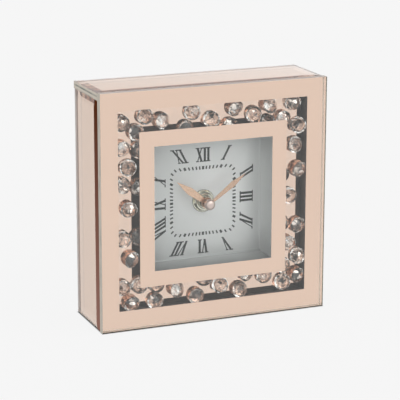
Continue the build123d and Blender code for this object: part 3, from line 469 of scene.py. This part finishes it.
class CLOCK_OT_glass(bpy.types.Operator):
    """Plates of glass and the rose mirror coats behind them"""

    bl_idname = "clock.glass"
    bl_label = "Glass and Mirror"

    seam_width: length("Seam Width", "Width of the paint on the front of the side plates", 6.5 * MM)
    seam_depth: length("Seam Depth", "How far in the paint on the side plates reaches", 0.55 * MM)
    # Reach of the painted shade under a plate.
    foot_depth: length("Foot Depth", "How far in the dark paint under a plate reaches", 3.6 * MM)
    # Sizes of the painted reflection behind the foot and the right edge.
    lip_height: length("Lip Height", "Height of the paint behind the foot of a plate", 1.1 * MM)
    lip_start: length("Lip Start", "From the right edge of the front plate to the side lip", 0.62 * MM)
    lip_width: length("Lip Width", "Width of the side lip", 0.93 * MM)
    flank_depth: length("Flank Depth", "Painted depth of the right edge of the front plate", 2.8 * MM)
    # Where the painted reflection on the top coat starts.
    top_reflection_grade: share("Top Grade", "Where the top's coat starts to pale, as a share of its half width", 0.8)

    def execute(self, context):
        settings = context.scene.clock_glass
        self.front(settings)
        self.sides(settings)
        self.top(settings)
        self.coats(settings)
        return {"FINISHED"}

    def foot(self, glass, settings, level, behind, inner):
        """Dark paint under a plate as painted shade at its foot, and pale paint farther in and behind as a
        painted reflection, where a mirror would double the dark.
        """
        z = glass.axes()[Z]
        lip = glass.both(behind, glass.below(z, level + self.lip_height))
        dark = glass.mottled(settings.foot, 6 * MM, 0.3)
        shade = glass.mix(glass.either(lip, inner), dark, settings.lip)
        return glass.either(lip, glass.below(z, level + SKIN)), shade

    def front(self, settings):
        low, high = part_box("front_glass")
        coat_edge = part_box("front_border_coat")[1].x
        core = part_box("dial_border_coat")[1].x
        ring = -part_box("carcass_left")[1].x

        def coated(glass):
            out = glass.window()
            border = glass.both(glass.above(out, half_well()), glass.below(out, core))
            shown = glass.either(glass.above(out, ring), border)
            mask = glass.both(shown, glass.above(glass.axes()[Y], high.y - SKIN))
            return mask, glass.mirror_coat(settings.rose)

        def ground(glass):
            return glass.below(glass.axes()[X], -(high.x + coat_edge) / 2)

        def painted(glass):
            x, y, z = glass.axes()
            behind = glass.above(y, high.y - SKIN)
            inner = glass.above(y, low.y + self.foot_depth)
            foot, shade = self.foot(glass, settings, low.z, behind, inner)
            lip_end = high.x - self.lip_start
            lip = glass.both(behind, glass.above(x, lip_end - self.lip_width))
            lip = glass.both(lip, glass.below(x, lip_end))
            # Painted shade line on the right edge, and painted reflection on the lip behind it.
            flank_shade_line = glass.both(glass.above(x, high.x - SKIN), glass.below(y, low.y + self.flank_depth))
            crest = glass.above(z, high.z - SKIN)
            for mask, tone in ((lip, settings.side_lip_painted_reflection), (flank_shade_line, settings.flank_shade_line), (crest, settings.crest)):
                shade = glass.mix(mask, shade, glass.mottled(tone, 25 * MM, 0.15))
            return glass.either(foot, lip, flank_shade_line, crest), shade

        plate_glass("front_plate_glass", ["front_glass"], Y, coated, ground, painted)

    def sides(self, settings):
        low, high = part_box("left_mirror")

        def coated(glass):
            mask = glass.below(glass.away(glass.axes()[X]), SKIN - high.x)
            # The side coat is darker by painted shade.
            return mask, glass.mirror_coat(settings.side_rose_painted_shade)

        def ground(glass):
            return glass.above(glass.axes()[Z], high.z - SKIN)

        def painted(glass):
            x, y, z = glass.axes()
            out = glass.away(x)
            outside = glass.above(out, -low.x - self.seam_depth)
            bevel = glass.both(outside, glass.below(y, low.y + self.seam_width))
            seam = glass.either(bevel, glass.below(y, low.y + SKIN))
            back = glass.above(y, high.y - SKIN)
            inner = glass.below(out, -low.x - self.foot_depth)
            foot, shade = self.foot(glass, settings, low.z, coated(glass)[0], inner)
            brown = glass.mix(glass.spread(z, 0.0, 1.0, low.z, high.z), settings.seam_low, settings.seam)
            shade = glass.mix(back, glass.mix(seam, shade, brown), settings.back_edge)
            return glass.either(seam, foot, back), shade

        plate_glass("side_plate_glass", ["left_mirror", "right_mirror"], X, coated, ground, painted)

    def top(self, settings):
        low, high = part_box("top_mirror")

        def coated(glass):
            x, y, z = glass.axes()
            # Painted reflection: the coat pales towards the back right.
            painted_reflection_grade = glass.spread(glass.sums("ADD", x, y), 0.0, 1.0, -self.top_reflection_grade * high.x, high.x)
            return glass.below(z, low.z + SKIN), glass.mix(painted_reflection_grade, settings.top_near_painted_reflection, settings.top_far_painted_reflection)

        def ground(glass):
            return glass.above(glass.away(glass.axes()[X]), high.x - SKIN)

        def painted(glass):
            back = glass.above(glass.axes()[Y], high.y - SKIN)
            return back, glass.mottled(settings.back_edge, 6 * MM, 0.05)

        plate_glass("top_plate_glass", ["top_mirror"], Z, coated, ground, painted)

    def coats(self, settings):
        coat = Finish("rose_coat")
        coat.metal(coat.mirror_coat(settings.rose), coat.noise(30 * MM), 0.01, 0.03)
        wear(coat, "top_coat", "left_coat", "right_coat")

        backed = Finish("painted_rose_coat")
        behind = backed.above(backed.axes()[Y], middle_of("front_border_coat").y)
        paint = backed.mottled(settings.paint, 4 * MM, 0.15)
        backed.give(
            Base_Color=backed.mix(behind, backed.mirror_coat(settings.rose), paint),
            Metallic=backed.sums("SUBTRACT", 1.0, behind),
            Roughness=backed.spread(behind, 0.015, 0.45),
        )
        wear(backed, "front_border_coat", "dial_border_coat")

        strip = Finish("channel_mirror")
        strip.surface(
            settings.rose, patch=25 * MM, wander=0.03, grain=12 * MM, rough=(0.02, 0.09), detail=5.0,
            Metallic=1.0, Coat_Weight=1.0, Coat_Roughness=0.02,
        )
        wear(strip, *four("channel_mirror_"))


def well_paint_and_shade(finish, margin=WELL_SKIN):
    """Silver paint of the walls round the dial, with painted shade: lighter at the foot, darker towards the
    front, at the ends and below.
    """
    settings = bpy.context.scene.clock_case
    ends_start = 0.4
    _, y, z = finish.axes()
    under = finish.below(z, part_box("moulding_bottom")[1].z + margin)
    fade = finish.spread(y, 0.0, 1.0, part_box("dial_border_coat")[1].y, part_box("dial_plate")[0].y)
    sides = finish.mix(fade, settings.well_front_painted_shade, settings.well)
    paint = finish.mix(under, sides, finish.mix(fade, settings.low_front_painted_shade, settings.low))
    return finish.dimmed(paint, finish.corner_painted_shade(settings.well_ends_painted_shade, ends_start, half_well()))


class CLOCK_OT_case(bpy.types.Operator):
    """Boards, mouldings, back and felt of the case"""

    bl_idname = "clock.case"
    bl_label = "Case"

    def execute(self, context):
        settings = context.scene.clock_case
        board = Finish("dark_board")
        board.surface(settings.lacquer, patch=9 * MM, wander=0.22, grain=14 * MM, rough=(0.36, 0.52))
        board.bump(board.noise(1.2 * MM, detail=4.0), distance=0.05 * MM, strength=0.5)
        wear(board, "back_panel", "dial_board", *four("carcass_"))

        walls = Finish("channel_lacquer")
        silver = walls.below(walls.window(), half_well() + WELL_SKIN)
        lacquer = walls.mottled(settings.lacquer, 7 * MM, 0.2)
        walls.give(
            Base_Color=walls.mix(silver, lacquer, well_paint_and_shade(walls)),
            Metallic=walls.both(silver, SILVER_GLEAM),
            Roughness=walls.spread(silver, 0.3, 0.48),
        )
        wear(walls, *four("moulding_"))

        felt = Finish("base_pile")
        pile = felt.noise(0.7 * MM, detail=6.0)
        # Painted shade and light: the pile is darker in its hollows and lighter on its tips, following the
        # bump.
        roots, tips = (shaded(settings.felt, part) for part in (0.5, 1.9))
        felt.give(Base_Color=felt.mix(pile, roots, tips), Roughness=0.95, Sheen_Weight=0.35)
        felt.bump(pile, distance=0.4 * MM)
        wear(felt, "base_felt")
        return {"FINISHED"}


class CLOCK_OT_screws(bpy.types.Operator):
    """Back screws with a cross recess in each head"""

    bl_idname = "clock.screws"
    bl_label = "Back Screws"

    head_radius: length("Head Radius", "Radius of a screw head", 3.0 * MM)
    recess_span: length("Recess Span", "Tip to tip of the cross", 3.4 * MM)
    recess_width: length("Recess Width", "Width of a wing of the cross", 0.8 * MM)
    recess_depth: length("Recess Depth", "Depth of the cross", 1.1 * MM)
    recess_taper = 0.4  # how much the cross narrows towards its foot

    def execute(self, context):
        low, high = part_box("back_screws")
        bm = bmesh.new()
        bm.from_mesh(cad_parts["back_screws"].data)
        bmesh.ops.remove_doubles(bm, verts=bm.verts, dist=0.001 * MM)
        steel = Finish("screw_plate")
        steel.surface(
            context.scene.clock_metal.steel, patch=1.5 * MM, wander=0.08, grain=0.8 * MM, rough=(0.22, 0.4),
            Metallic=1.0,
        )
        screws = settle(bm, "cross_recess_screws", steel, "clock")
        recesses = bmesh.new()
        for x in (low.x + self.head_radius, high.x - self.head_radius):
            for z in (low.z + self.head_radius, high.z - self.head_radius):
                self.cross(recesses, Vector((x, high.y, z)))
        cutter = formed(recesses, "recess_cutter")
        cut = screws.modifiers.new("recess", "BOOLEAN")
        cut.operation = "DIFFERENCE"
        cut.solver = "EXACT"
        cut.use_self = True
        cut.object = cutter
        shaped = bpy.data.meshes.new_from_object(screws.evaluated_get(context.evaluated_depsgraph_get()))
        screws.modifiers.remove(cut)
        screws.data = shaped
        bpy.data.objects.remove(cutter)
        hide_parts("back_screws")
        return {"FINISHED"}

    def cross(self, bm, middle):
        """Two tapered wings that cut the recess."""
        depth = DEPTH * 2 * self.recess_depth
        for turn in (-math.pi / 4, math.pi / 4):
            across, side = spokes(turn)
            start = set(bm.verts)
            bar(bm, middle, across * self.recess_span, depth, side * self.recess_width)
            for vert in set(bm.verts) - start:
                if vert.co.y < middle.y:
                    vert.co.x += (middle.x - vert.co.x) * self.recess_taper
                    vert.co.z += (middle.z - vert.co.z) * self.recess_taper


class CLOCK_OT_crystals(bpy.types.Operator):
    """Cut crystals in the channel"""

    bl_idname = "clock.crystals"
    bl_label = "Crystals"

    line_share: share("Line Share", "Width of the line between two facets as a share of a facet", 0.04)
    facet_tilt: share("Facet Tilt", "How far the small facets turn from the stone's own faces", 0.10)
    flash_share: share("Flash Share", "Share of the small facets that throw the light back", 0.22)
    flash: share("Flash", "How much of the light such a facet throws back", 0.6)

    def execute(self, context):
        settings = context.scene.clock_glass
        crystal = Finish("cut_crystal")
        inset = crystal.cells("DISTANCE_TO_EDGE", settings.facet)["Distance"]
        # Painted shade along the facet edges.
        line = crystal.below(inset, self.line_share)
        hue = crystal.cells("F1", settings.facet)["Color"]
        flashing = crystal.below(crystal.split(hue)[0], self.flash_share)
        clear = crystal.mottled(settings.crystal, 8 * MM, 0.015)
        stone = crystal.mix(flashing, clear, settings.crystal_flash)
        normal = crystal.made("ShaderNodeNewGeometry")["Normal"]
        tilted = crystal.vectors("MULTIPLY_ADD", hue, [self.facet_tilt] * 3, normal)[0]
        evened = crystal.vectors("SUBTRACT", tilted, [self.facet_tilt / 2] * 3)[0]
        crystal.give(
            Base_Color=crystal.mix(line, stone, settings.facet_shade_line),
            Metallic=crystal.spread(flashing, 0.0, self.flash),
            Roughness=crystal.spread(crystal.noise(3 * MM), 0.0, 0.008),
            IOR=settings.crystal_bend,
            Transmission_Weight=1.0,
            Normal=crystal.vectors("NORMALIZE", evened)[0],
        )
        wear(crystal, *four("crystals_"))
        return {"FINISHED"}


class CLOCK_OT_dial(bpy.types.Operator):
    """Satin dial plate with its cove, numerals and minute track"""

    bl_idname = "clock.dial"
    bl_label = "Dial"

    # Where the dial's painted light and shade start or end, as shares of its half width.
    tone_reach = (0.2, 1.5)
    edge_start = 0.55
    corner_start = 0.6
    far_reach = (1.3, 1.75)

    numerals = (("XI", "XII", "I"), ("II", "III", "IV"), ("V", "VI", "VII"), ("VIII", "IX", "X"))
    # Each letter has its advance as a share of its height, then its strokes: where the foot
    # and the head lie across the advance, and whether the stroke is thick.
    letters = {
        "I": (0.26, ((0.5, 0.5, True),)),
        "V": (0.48, ((0.52, 0.2, True), (0.52, 0.84, False))),
        "X": (0.52, ((0.8, 0.2, True), (0.2, 0.8, False))),
    }
    lean = math.radians(28)
    # Thin strokes and serifs stand lower than thick strokes, so no two faces share a plane.
    thin_rise = 0.9
    serif_rise = 0.8
    minutes = 60
    fifth = 5
    cove_steps = 14
    cove_gap = 0.03 * MM

    def execute(self, context):
        settings = context.scene.clock_dial
        self.plate(settings)
        self.cove(settings)
        ink = Finish("dial_ink")
        ink.surface(settings.ink, patch=2 * MM, wander=0.3, grain=MM, rough=(0.4, 0.6))
        self.axis = middle_of("hand_cap")
        self.axis.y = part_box("dial_plate")[0].y - settings.ink_depth / 2
        self.print_numerals(settings, ink)
        self.print_track(settings, ink)
        return {"FINISHED"}

    def silver(self, finish, tone):
        """Satin silver paint of that tone."""
        rough = finish.spread(finish.noise(5 * MM), 0.42, 0.5)
        finish.give(Base_Color=tone, Metallic=SILVER_GLEAM, Roughness=rough)

    def plate(self, settings):
        """Finish of the dial plate: painted light, brightest at a spot beside its middle, and painted shade
        towards its edges, its corners and its far side.
        """
        satin = Finish("satin_dial")
        half = half_well()
        # The painted pool of light lies beside the middle; painted shade falls off from it and towards the
        # edges.
        brightest = middle_of("dial_plate") + Vector((settings.bright_side, 0.0, settings.bright_up))
        reach = satin.vectors("LENGTH", satin.vectors("SUBTRACT", satin.place, brightest)[0])["Value"]
        tones = satin.spread(reach, 0.0, 1.0, *(part * half for part in self.tone_reach))
        edges = satin.eased(satin.window(), 0.0, 1.0, self.edge_start * half, half)
        tone = satin.mix(satin.either(tones, edges), settings.dial_centre_painted_light, settings.rim)
        corners = satin.corner_painted_shade(settings.corner, self.corner_start, half)
        far = satin.spread(reach, 1.0, settings.far, *(part * half for part in self.far_reach))
        fine = satin.noise(0.25 * MM, detail=2.0)
        for amount in (corners, far, satin.spread(fine, 0.94, 1.0)):
            tone = satin.dimmed(tone, amount)
        self.silver(satin, tone)
        satin.bump(fine, distance=0.01 * MM, strength=0.4)
        wear(satin, "dial_plate")

    def cove(self, settings):
        """Hollow fillet that runs round the dial where it meets its walls."""
        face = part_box("dial_plate")[0].y - self.cove_gap
        half = half_well() - self.cove_gap
        fillet = Finish("dial_fillet")
        _, y, z = fillet.axes()
        corners = fillet.corner_painted_shade(settings.corner, self.corner_start, half)
        rim = fillet.dimmed(tuple(settings.rim), corners)
        depth = fillet.spread(y, 0.0, 1.0, face - settings.cove, face)
        tone = fillet.mix(depth, well_paint_and_shade(fillet, settings.cove), rim)
        # Painted shade: the cove is darker below the dial and in the corners.
        under = fillet.below(z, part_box("moulding_bottom")[1].z + settings.cove)
        self.silver(fillet, fillet.dimmed(tone, fillet.spread(under, 1.0, settings.low_cove_painted_shade)))

        # The section stands on a corner, and a spin of four steps carries it round the square.
        middle = middle_of("dial_border_coat")
        bm = bmesh.new()
        section = [bm.verts.new((middle.x + half, face, middle.z + half))]
        for step in range(self.cove_steps + 1):
            turn = math.pi / 2 * step / self.cove_steps
            reach = half - settings.cove * (1.0 - math.sin(turn))
            rise = settings.cove * (1.0 - math.cos(turn))
            section.append(bm.verts.new((middle.x + reach, face - rise, middle.z + reach)))
        edges = [bm.edges.new(ends) for ends in zip(section, (*section[1:], section[0]))]
        bmesh.ops.spin(
            bm, geom=[*section, *edges], cent=middle, axis=DEPTH, dvec=(0, 0, 0), angle=2 * math.pi,
            steps=len(SIDES), use_merge=True, use_duplicate=False,
        )
        settle(bm, "dial_cove", fillet, "clock")

    def print_numerals(self, settings, ink):
        bm = bmesh.new()
        for quarter, row in enumerate(self.numerals):
            across, out = spokes(math.pi / 2 * quarter)
            for step, numeral in enumerate(row):
                slant = math.tan(self.lean * (step - 1))
                self.numeral(bm, settings, numeral, across, out, slant)
        settle(bm, "hour_numerals", ink, "clock")

    def numeral(self, bm, settings, numeral, across, out, slant):
        """Strokes and serifs of one numeral, leaning away from the hand axis."""
        ends = (settings.foot, settings.head)
        advances = [self.letters[letter][0] * (settings.head - settings.foot) for letter in numeral]
        tall = out * settings.thin
        start = -sum(advances) / 2
        for letter, advance in zip(numeral, advances):
            for *places, thick in self.letters[letter][1]:
                width = settings.thick if thick else settings.thin
                points = [
                    across * (start + place * advance + reach * slant) + out * reach
                    for place, reach in zip(places, ends)
                ]
                depth = DEPTH * settings.ink_depth * (1.0 if thick else self.thin_rise)
                middle = self.axis + (points[0] + points[1]) / 2
                bar(bm, middle, across * width, depth, points[1] - points[0])
                for end, place in enumerate(points):
                    if letter == "V" and end == 0:
                        continue
                    inwards = tall * (0.5 - end)
                    flat = across * (width + 2 * settings.serif)
                    low = DEPTH * settings.ink_depth * self.serif_rise
                    bar(bm, self.axis + place + inwards, flat, low, tall)
            start += advance

    def print_track(self, settings, ink):
        bm = bmesh.new()
        corner = settings.track - settings.track_corner
        for minute in range(self.minutes):
            across, out = spokes(2 * math.pi * minute / self.minutes)
            wide, narrow = sorted((abs(out.x), abs(out.z)), reverse=True)
            reach = settings.track / wide
            if reach * narrow > corner:
                along = (wide + narrow) * corner
                reach = along + math.sqrt(along**2 - 2 * corner**2 + settings.track_corner**2)
            width = settings.dash_width if minute % self.fifth else settings.five_width
            bar(bm, self.axis + out * reach, across * width, DEPTH * settings.ink_depth, out * settings.dash)
        settle(bm, "minute_track", ink, "clock")


class CLOCK_OT_hands(bpy.types.Operator):
    """Hands, cap and the brass fittings at the middle of the dial"""

    bl_idname = "clock.hands"
    bl_label = "Hands"

    groove_pitch: length("Groove Pitch", "Distance between the grooves of the hubs", 1.3 * MM)
    hub_radius: length("Hub Radius", "How far the grooves of the hubs reach from the axis", 3.75 * MM)
    turning_pitch = 1.5 * MM
    turning_mark_painted_shade = 0.28  # share of the brass tone that is left in a turning mark, painted shade in the marks

    def execute(self, context):
        settings = context.scene.clock_metal
        axis = middle_of("hand_cap")
        for hand, tone in (("hour_hand", settings.hands), ("minute_hand", settings.minute)):
            rose = Finish("rose_metal_" + hand)
            brushed = rose.noise(0.3 * MM, detail=4.0, stretch=(0.2, 1.0, 1.0))
            flat = rose.mapped(scale=(1.0, 0.0, 1.0), shift=(-axis.x, 0.0, -axis.z))
            hub = rose.below(rose.vectors("LENGTH", flat)["Value"], self.hub_radius)
            # Dark bands painted in the hub grooves as shade.
            grooves = rose.both(hub, rose.wave(rose.place, self.groove_pitch, bands_direction="Y"))
            shade = rose.mix(grooves, rose.mottled(tone, 3 * MM, 0.04), settings.hub_groove_painted_shade)
            rose.metal(shade, brushed, 0.2, 0.34)
            rose.bump(brushed, distance=0.004 * MM, strength=0.5)
            wear(rose, hand)

        cap = Finish("rose_metal_cap")
        cap.surface(settings.cap, patch=4 * MM, wander=0.03, grain=2 * MM, rough=(0.3, 0.38), Metallic=1.0)
        wear(cap, "hand_cap")

        brass = Finish("turned_brass")
        centred = brass.mapped(shift=-middle_of("threaded_bush"))
        # Real turning marks, whose dark tone is painted shade.
        turned = brass.wave(centred, self.turning_pitch, 0.4, wave_type="RINGS", rings_direction="Y")
        mark = shaded(settings.brass, self.turning_mark_painted_shade)
        brass.metal(brass.mix(turned, mark, settings.brass), turned, 0.3, 0.16)
        brass.bump(turned, distance=0.05 * MM, strength=0.6)
        wear(brass, "dial_washer", "dial_nut", "threaded_bush", "minute_arbor")

        gasket = Finish("gasket_rubber")
        gasket.surface(settings.rubber, patch=MM, wander=0.3, grain=MM, rough=(0.6, 0.8))
        wear(gasket, "rubber_gasket")
        return {"FINISHED"}


class CLOCK_OT_movement(bpy.types.Operator):
    """Movement case, trains, motor and circuit"""

    bl_idname = "clock.movement"
    bl_label = "Movement"

    wire_pitch = 0.2618 * MM
    wire_gap_painted_shade = 0.55  # share of the copper tone that is left between two turns, painted shade in the gaps
    field_size = 2.381 * MM
    track_share = 0.07  # width of a circuit track as a share of the fields between the tracks
    arrow_gap = 1.4 * MM
    arrow_width = 0.8 * MM
    arrow_rise = 0.3 * MM
    arrow_barb = 1.5 * MM  # from the middle of the stem
    arrow_start = math.radians(70)
    arrow_sweep = math.radians(215)
    arrow_steps = 28

    def execute(self, context):
        settings = context.scene.clock_metal
        dark = Finish("moulded_dark_plastic")
        spark = dark.noise(0.35 * MM)
        shell = dark.mottled(settings.dark, 6 * MM, 0.15)
        dark.give(Base_Color=shell, Roughness=dark.spread(spark, 0.4, 0.58))
        dark.bump(spark, distance=0.03 * MM, strength=0.6)
        wear(dark, "movement_case", "movement_cover", "setting_knob", "clock_chip")

        pale = Finish("moulded_pale_plastic")
        pale.surface(
            settings.pale, patch=4 * MM, wander=0.05, grain=2 * MM, rough=(0.3, 0.42),
            Subsurface_Weight=0.1, Subsurface_Scale=0.5 * MM,
        )
        wear(pale, "train_bridge", "coil_bobbin", "hour_wheel", "motion_wheel")
        wear(pale, "fifth_wheel", "seconds_wheel", "third_wheel", "centre_wheel")

        magnet = Finish("sintered_magnet")
        grain = magnet.noise(0.2 * MM, detail=5.0)
        tone = magnet.mix(grain, settings.magnet, settings.magnet_grain)
        magnet.metal(tone, grain, 0.4, 0.6, metallic=0.7)
        wear(magnet, "rotor")

        steel = Finish("plated_steel")
        rolled = steel.noise(0.5 * MM, detail=4.0, stretch=(0.15, 1.0, 1.0))
        steel.metal(steel.mottled(settings.steel, 3 * MM, 0.06), rolled, 0.2, 0.36)
        steel.bump(rolled, distance=0.004 * MM, strength=0.5)
        wear(steel, "stator", "quartz_can", "contact_plus", "contact_minus")

        copper = Finish("wound_copper")
        # Painted shade between the turns of the coil.
        turns = copper.wave(copper.place, self.wire_pitch, 0.6, bands_direction="X")
        between = shaded(settings.copper, self.wire_gap_painted_shade)
        copper.metal(copper.mix(turns, between, settings.copper), turns, 0.4, 0.24)
        copper.bump(turns, distance=0.05 * MM)
        wear(copper, "coil_winding")

        circuit = Finish("green_circuit_board")
        fields = circuit.cells("DISTANCE_TO_EDGE", self.field_size, randomness=0.35)["Distance"]
        tracks = circuit.below(fields, self.track_share)
        circuit.give(
            Base_Color=circuit.mix(tracks, settings.circuit, settings.circuit_track),
            Roughness=circuit.spread(circuit.noise(MM), 0.25, 0.38),
        )
        wear(circuit, "circuit_board")
        self.turn_arrow(pale)
        return {"FINISHED"}

    def turn_arrow(self, pale):
        """Raised arrow on the cover that shows how the knob turns."""
        low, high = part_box("setting_knob")
        middle = (low + high) / 2
        middle.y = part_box("movement_cover")[1].y
        near = (high.x - low.x) / 2 + self.arrow_gap
        far = near + self.arrow_width
        rise = DEPTH * self.arrow_rise
        bm = bmesh.new()
        corners = ((near, -1), (far, -1), (far, 1), (near, 1))
        verts = [bm.verts.new(middle + Vector((reach, 0.0, 0.0)) + rise * side) for reach, side in corners]
        start = bm.faces.new(verts)
        bmesh.ops.rotate(bm, verts=verts, cent=middle, matrix=Matrix.Rotation(self.arrow_start, 3, "Y"))
        spun = bmesh.ops.spin(
            bm, geom=[start, *start.edges, *start.verts], cent=middle, axis=DEPTH, dvec=(0, 0, 0),
            angle=self.arrow_sweep, steps=self.arrow_steps, use_merge=False, use_duplicate=False,
        )
        tip = [item for item in spun["geom_last"] if isinstance(item, bmesh.types.BMVert)]
        end = sum((vert.co for vert in tip), Vector()) / len(tip)
        spoke = (end - middle).normalized() * self.arrow_barb
        ahead = DEPTH.cross(spoke) * 2
        head = bm.faces.new([bm.verts.new(end + reach - rise) for reach in (spoke, -spoke, ahead)])
        raised = bmesh.ops.extrude_face_region(bm, geom=[head])
        lifted = [item for item in raised["geom"] if isinstance(item, bmesh.types.BMVert)]
        bmesh.ops.translate(bm, verts=lifted, vec=rise * 2)
        settle(bm, "turn_arrow", pale, "clock")


class CLOCK_OT_battery(bpy.types.Operator):
    """Cell with a plain sleeve, a band and bare ends"""

    bl_idname = "clock.battery"
    bl_label = "Cell"

    bare_end: length("Bare End", "Length of bare metal at each end of the cell", 1.2 * MM)
    band_share: share("Band Share", "Share of the cell's length that the band takes", 0.24)
    band_gleam = 0.6  # how metallic the band is

    def execute(self, context):
        settings = context.scene.clock_metal
        low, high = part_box("battery")
        cell = Finish("cell_sleeve")
        x = cell.axes()[X]
        ends = cell.either(cell.below(x, low.x + self.bare_end), cell.above(x, high.x - 2 * self.bare_end))
        band = cell.above(x, high.x - self.band_share * (high.x - low.x))
        jacket = cell.mottled(settings.jacket, 5 * MM, 0.06)
        sleeve = cell.mix(band, jacket, cell.mottled(settings.band, 5 * MM, 0.04))
        cell.give(
            Base_Color=cell.mix(ends, sleeve, cell.mottled(settings.steel, 2 * MM, 0.06)),
            Metallic=cell.either(ends, cell.both(band, self.band_gleam)),
            Roughness=cell.spread(cell.noise(4 * MM), 0.22, 0.34),
        )
        wear(cell, "battery")
        return {"FINISHED"}


class CLOCK_OT_stage(bpy.types.Operator):
    """Pale floor, soft light and the camera"""

    bl_idname = "clock.stage"
    bl_label = "Stage"

    painted_shadow_edge: length("Shade Edge", "Softness of the shade under the clock", 0.8 * MM)
    painted_shadow_glow = 0.04  # share of the floor's glow that is left under the clock, a painted shadow
    # Where the room changes from its front to its back, as depths of a direction.
    room_front = -0.1
    room_back = 0.35

    def execute(self, context):
        settings = context.scene.clock_studio
        self.floor(settings)
        self.light(context, settings)
        self.camera(context, settings)
        return {"FINISHED"}

    def floor(self, settings):
        bm = bmesh.new()
        bmesh.ops.create_grid(bm, x_segments=1, y_segments=1, size=settings.floor_reach)
        floor = formed(bm, "studio_floor")
        paper = Finish("floor_paper")
        # Painted shadow: the floor glows less under the clock.
        outside = []
        for axis in (X, Y):
            reach = cad_box[1][axis]
            out = paper.away(paper.axes()[axis])
            outside.append(paper.eased(out, 0.0, 1.0, reach - self.painted_shadow_edge, reach + self.painted_shadow_edge))
        glow = settings.floor_glow
        paper.give(
            Base_Color=settings.floor,
            Roughness=0.9,
            Specular_IOR_Level=0.0,
            Emission_Color=WHITE,
            Emission_Strength=paper.spread(paper.either(*outside), self.painted_shadow_glow * glow, glow),
        )
        floor.data.materials.append(paper.material)

    def light(self, context, settings):
        world = bpy.data.worlds.new("studio_light")
        context.scene.world = world
        world.use_nodes = True
        room = Nodes(world.node_tree, "Generated")
        depth = room.axes()[Y]
        glow = room.eased(depth, settings.front_sky, settings.back_sky, self.room_front, self.room_back)
        # Each soft light is full up to its inner angle and gone at its outer one, in degrees.
        for way, inner, outer, strength in (
            (settings.key_from, 20, 32, settings.key),
            (settings.fill_from, 12, 24, settings.fill),
            (settings.overhead_from, 25, 40, settings.overhead),
        ):
            facing = room.vectors("DOT_PRODUCT", room.place, Vector(way).normalized())["Value"]
            edges = (math.cos(math.radians(turn)) for turn in (outer, inner))
            glow = room.sums("ADD", glow, room.eased(facing, 0.0, strength, *edges))
        sky = world.node_tree.nodes["Background"]
        room.feed(sky.inputs["Strength"], glow)
        sky.inputs["Color"].default_value = (*WHITE, 1.0)
        context.scene.view_settings.view_transform = "Standard"
        rays = context.scene.cycles
        rays.max_bounces = 24
        rays.glossy_bounces = 12
        rays.transmission_bounces = 24

    def camera(self, context, settings):
        eye = bpy.data.cameras.new("studio_camera")
        eye.lens = settings.lens
        eye.sensor_width = 36.0
        camera = bpy.data.objects.new("studio_camera", eye)
        context.scene.collection.objects.link(camera)
        sight = Vector(settings.camera_aim) - Vector(settings.camera_at)
        turn = sight.to_track_quat("-Z", "Y") @ Quaternion((0.0, 0.0, 1.0), settings.camera_roll)
        camera.location = settings.camera_at
        camera.rotation_euler = turn.to_euler()
        context.scene.camera = camera


class CLOCK_PT_bench(bpy.types.Panel):
    """Lists the steps that dress the clock"""

    bl_label = "Table Clock"
    bl_idname = "CLOCK_PT_bench"
    bl_space_type = "VIEW_3D"
    bl_region_type = "UI"
    bl_category = "Clock"

    def draw(self, context):
        for step in STEPS:
            self.layout.operator(step.bl_idname)
        for key in SETTINGS:
            box = self.layout.box()
            group = getattr(context.scene, key)
            for name in group.__annotations__:
                box.prop(group, name)


SETTINGS = {
    "clock_glass": ClockGlass,
    "clock_case": ClockCase,
    "clock_dial": ClockDial,
    "clock_metal": ClockMetal,
    "clock_studio": ClockStudio,
}
STEPS = (
    CLOCK_OT_glass,
    CLOCK_OT_case,
    CLOCK_OT_screws,
    CLOCK_OT_crystals,
    CLOCK_OT_dial,
    CLOCK_OT_hands,
    CLOCK_OT_movement,
    CLOCK_OT_battery,
    CLOCK_OT_stage,
)
CLASSES = (*SETTINGS.values(), *STEPS, CLOCK_PT_bench)


def register():
    for made in CLASSES:
        bpy.utils.register_class(made)
    for key, group in SETTINGS.items():
        setattr(bpy.types.Scene, key, PointerProperty(type=group))


def unregister():
    for key in SETTINGS:
        delattr(bpy.types.Scene, key)
    for made in reversed(CLASSES):
        bpy.utils.unregister_class(made)


def main():
    register()
    bpy.ops.clock.glass()
    bpy.ops.clock.case()
    bpy.ops.clock.screws()
    bpy.ops.clock.crystals()
    bpy.ops.clock.dial()
    bpy.ops.clock.hands()
    bpy.ops.clock.movement()
    bpy.ops.clock.battery()
    bpy.ops.clock.stage()


if __name__ == "__main__":
    main()
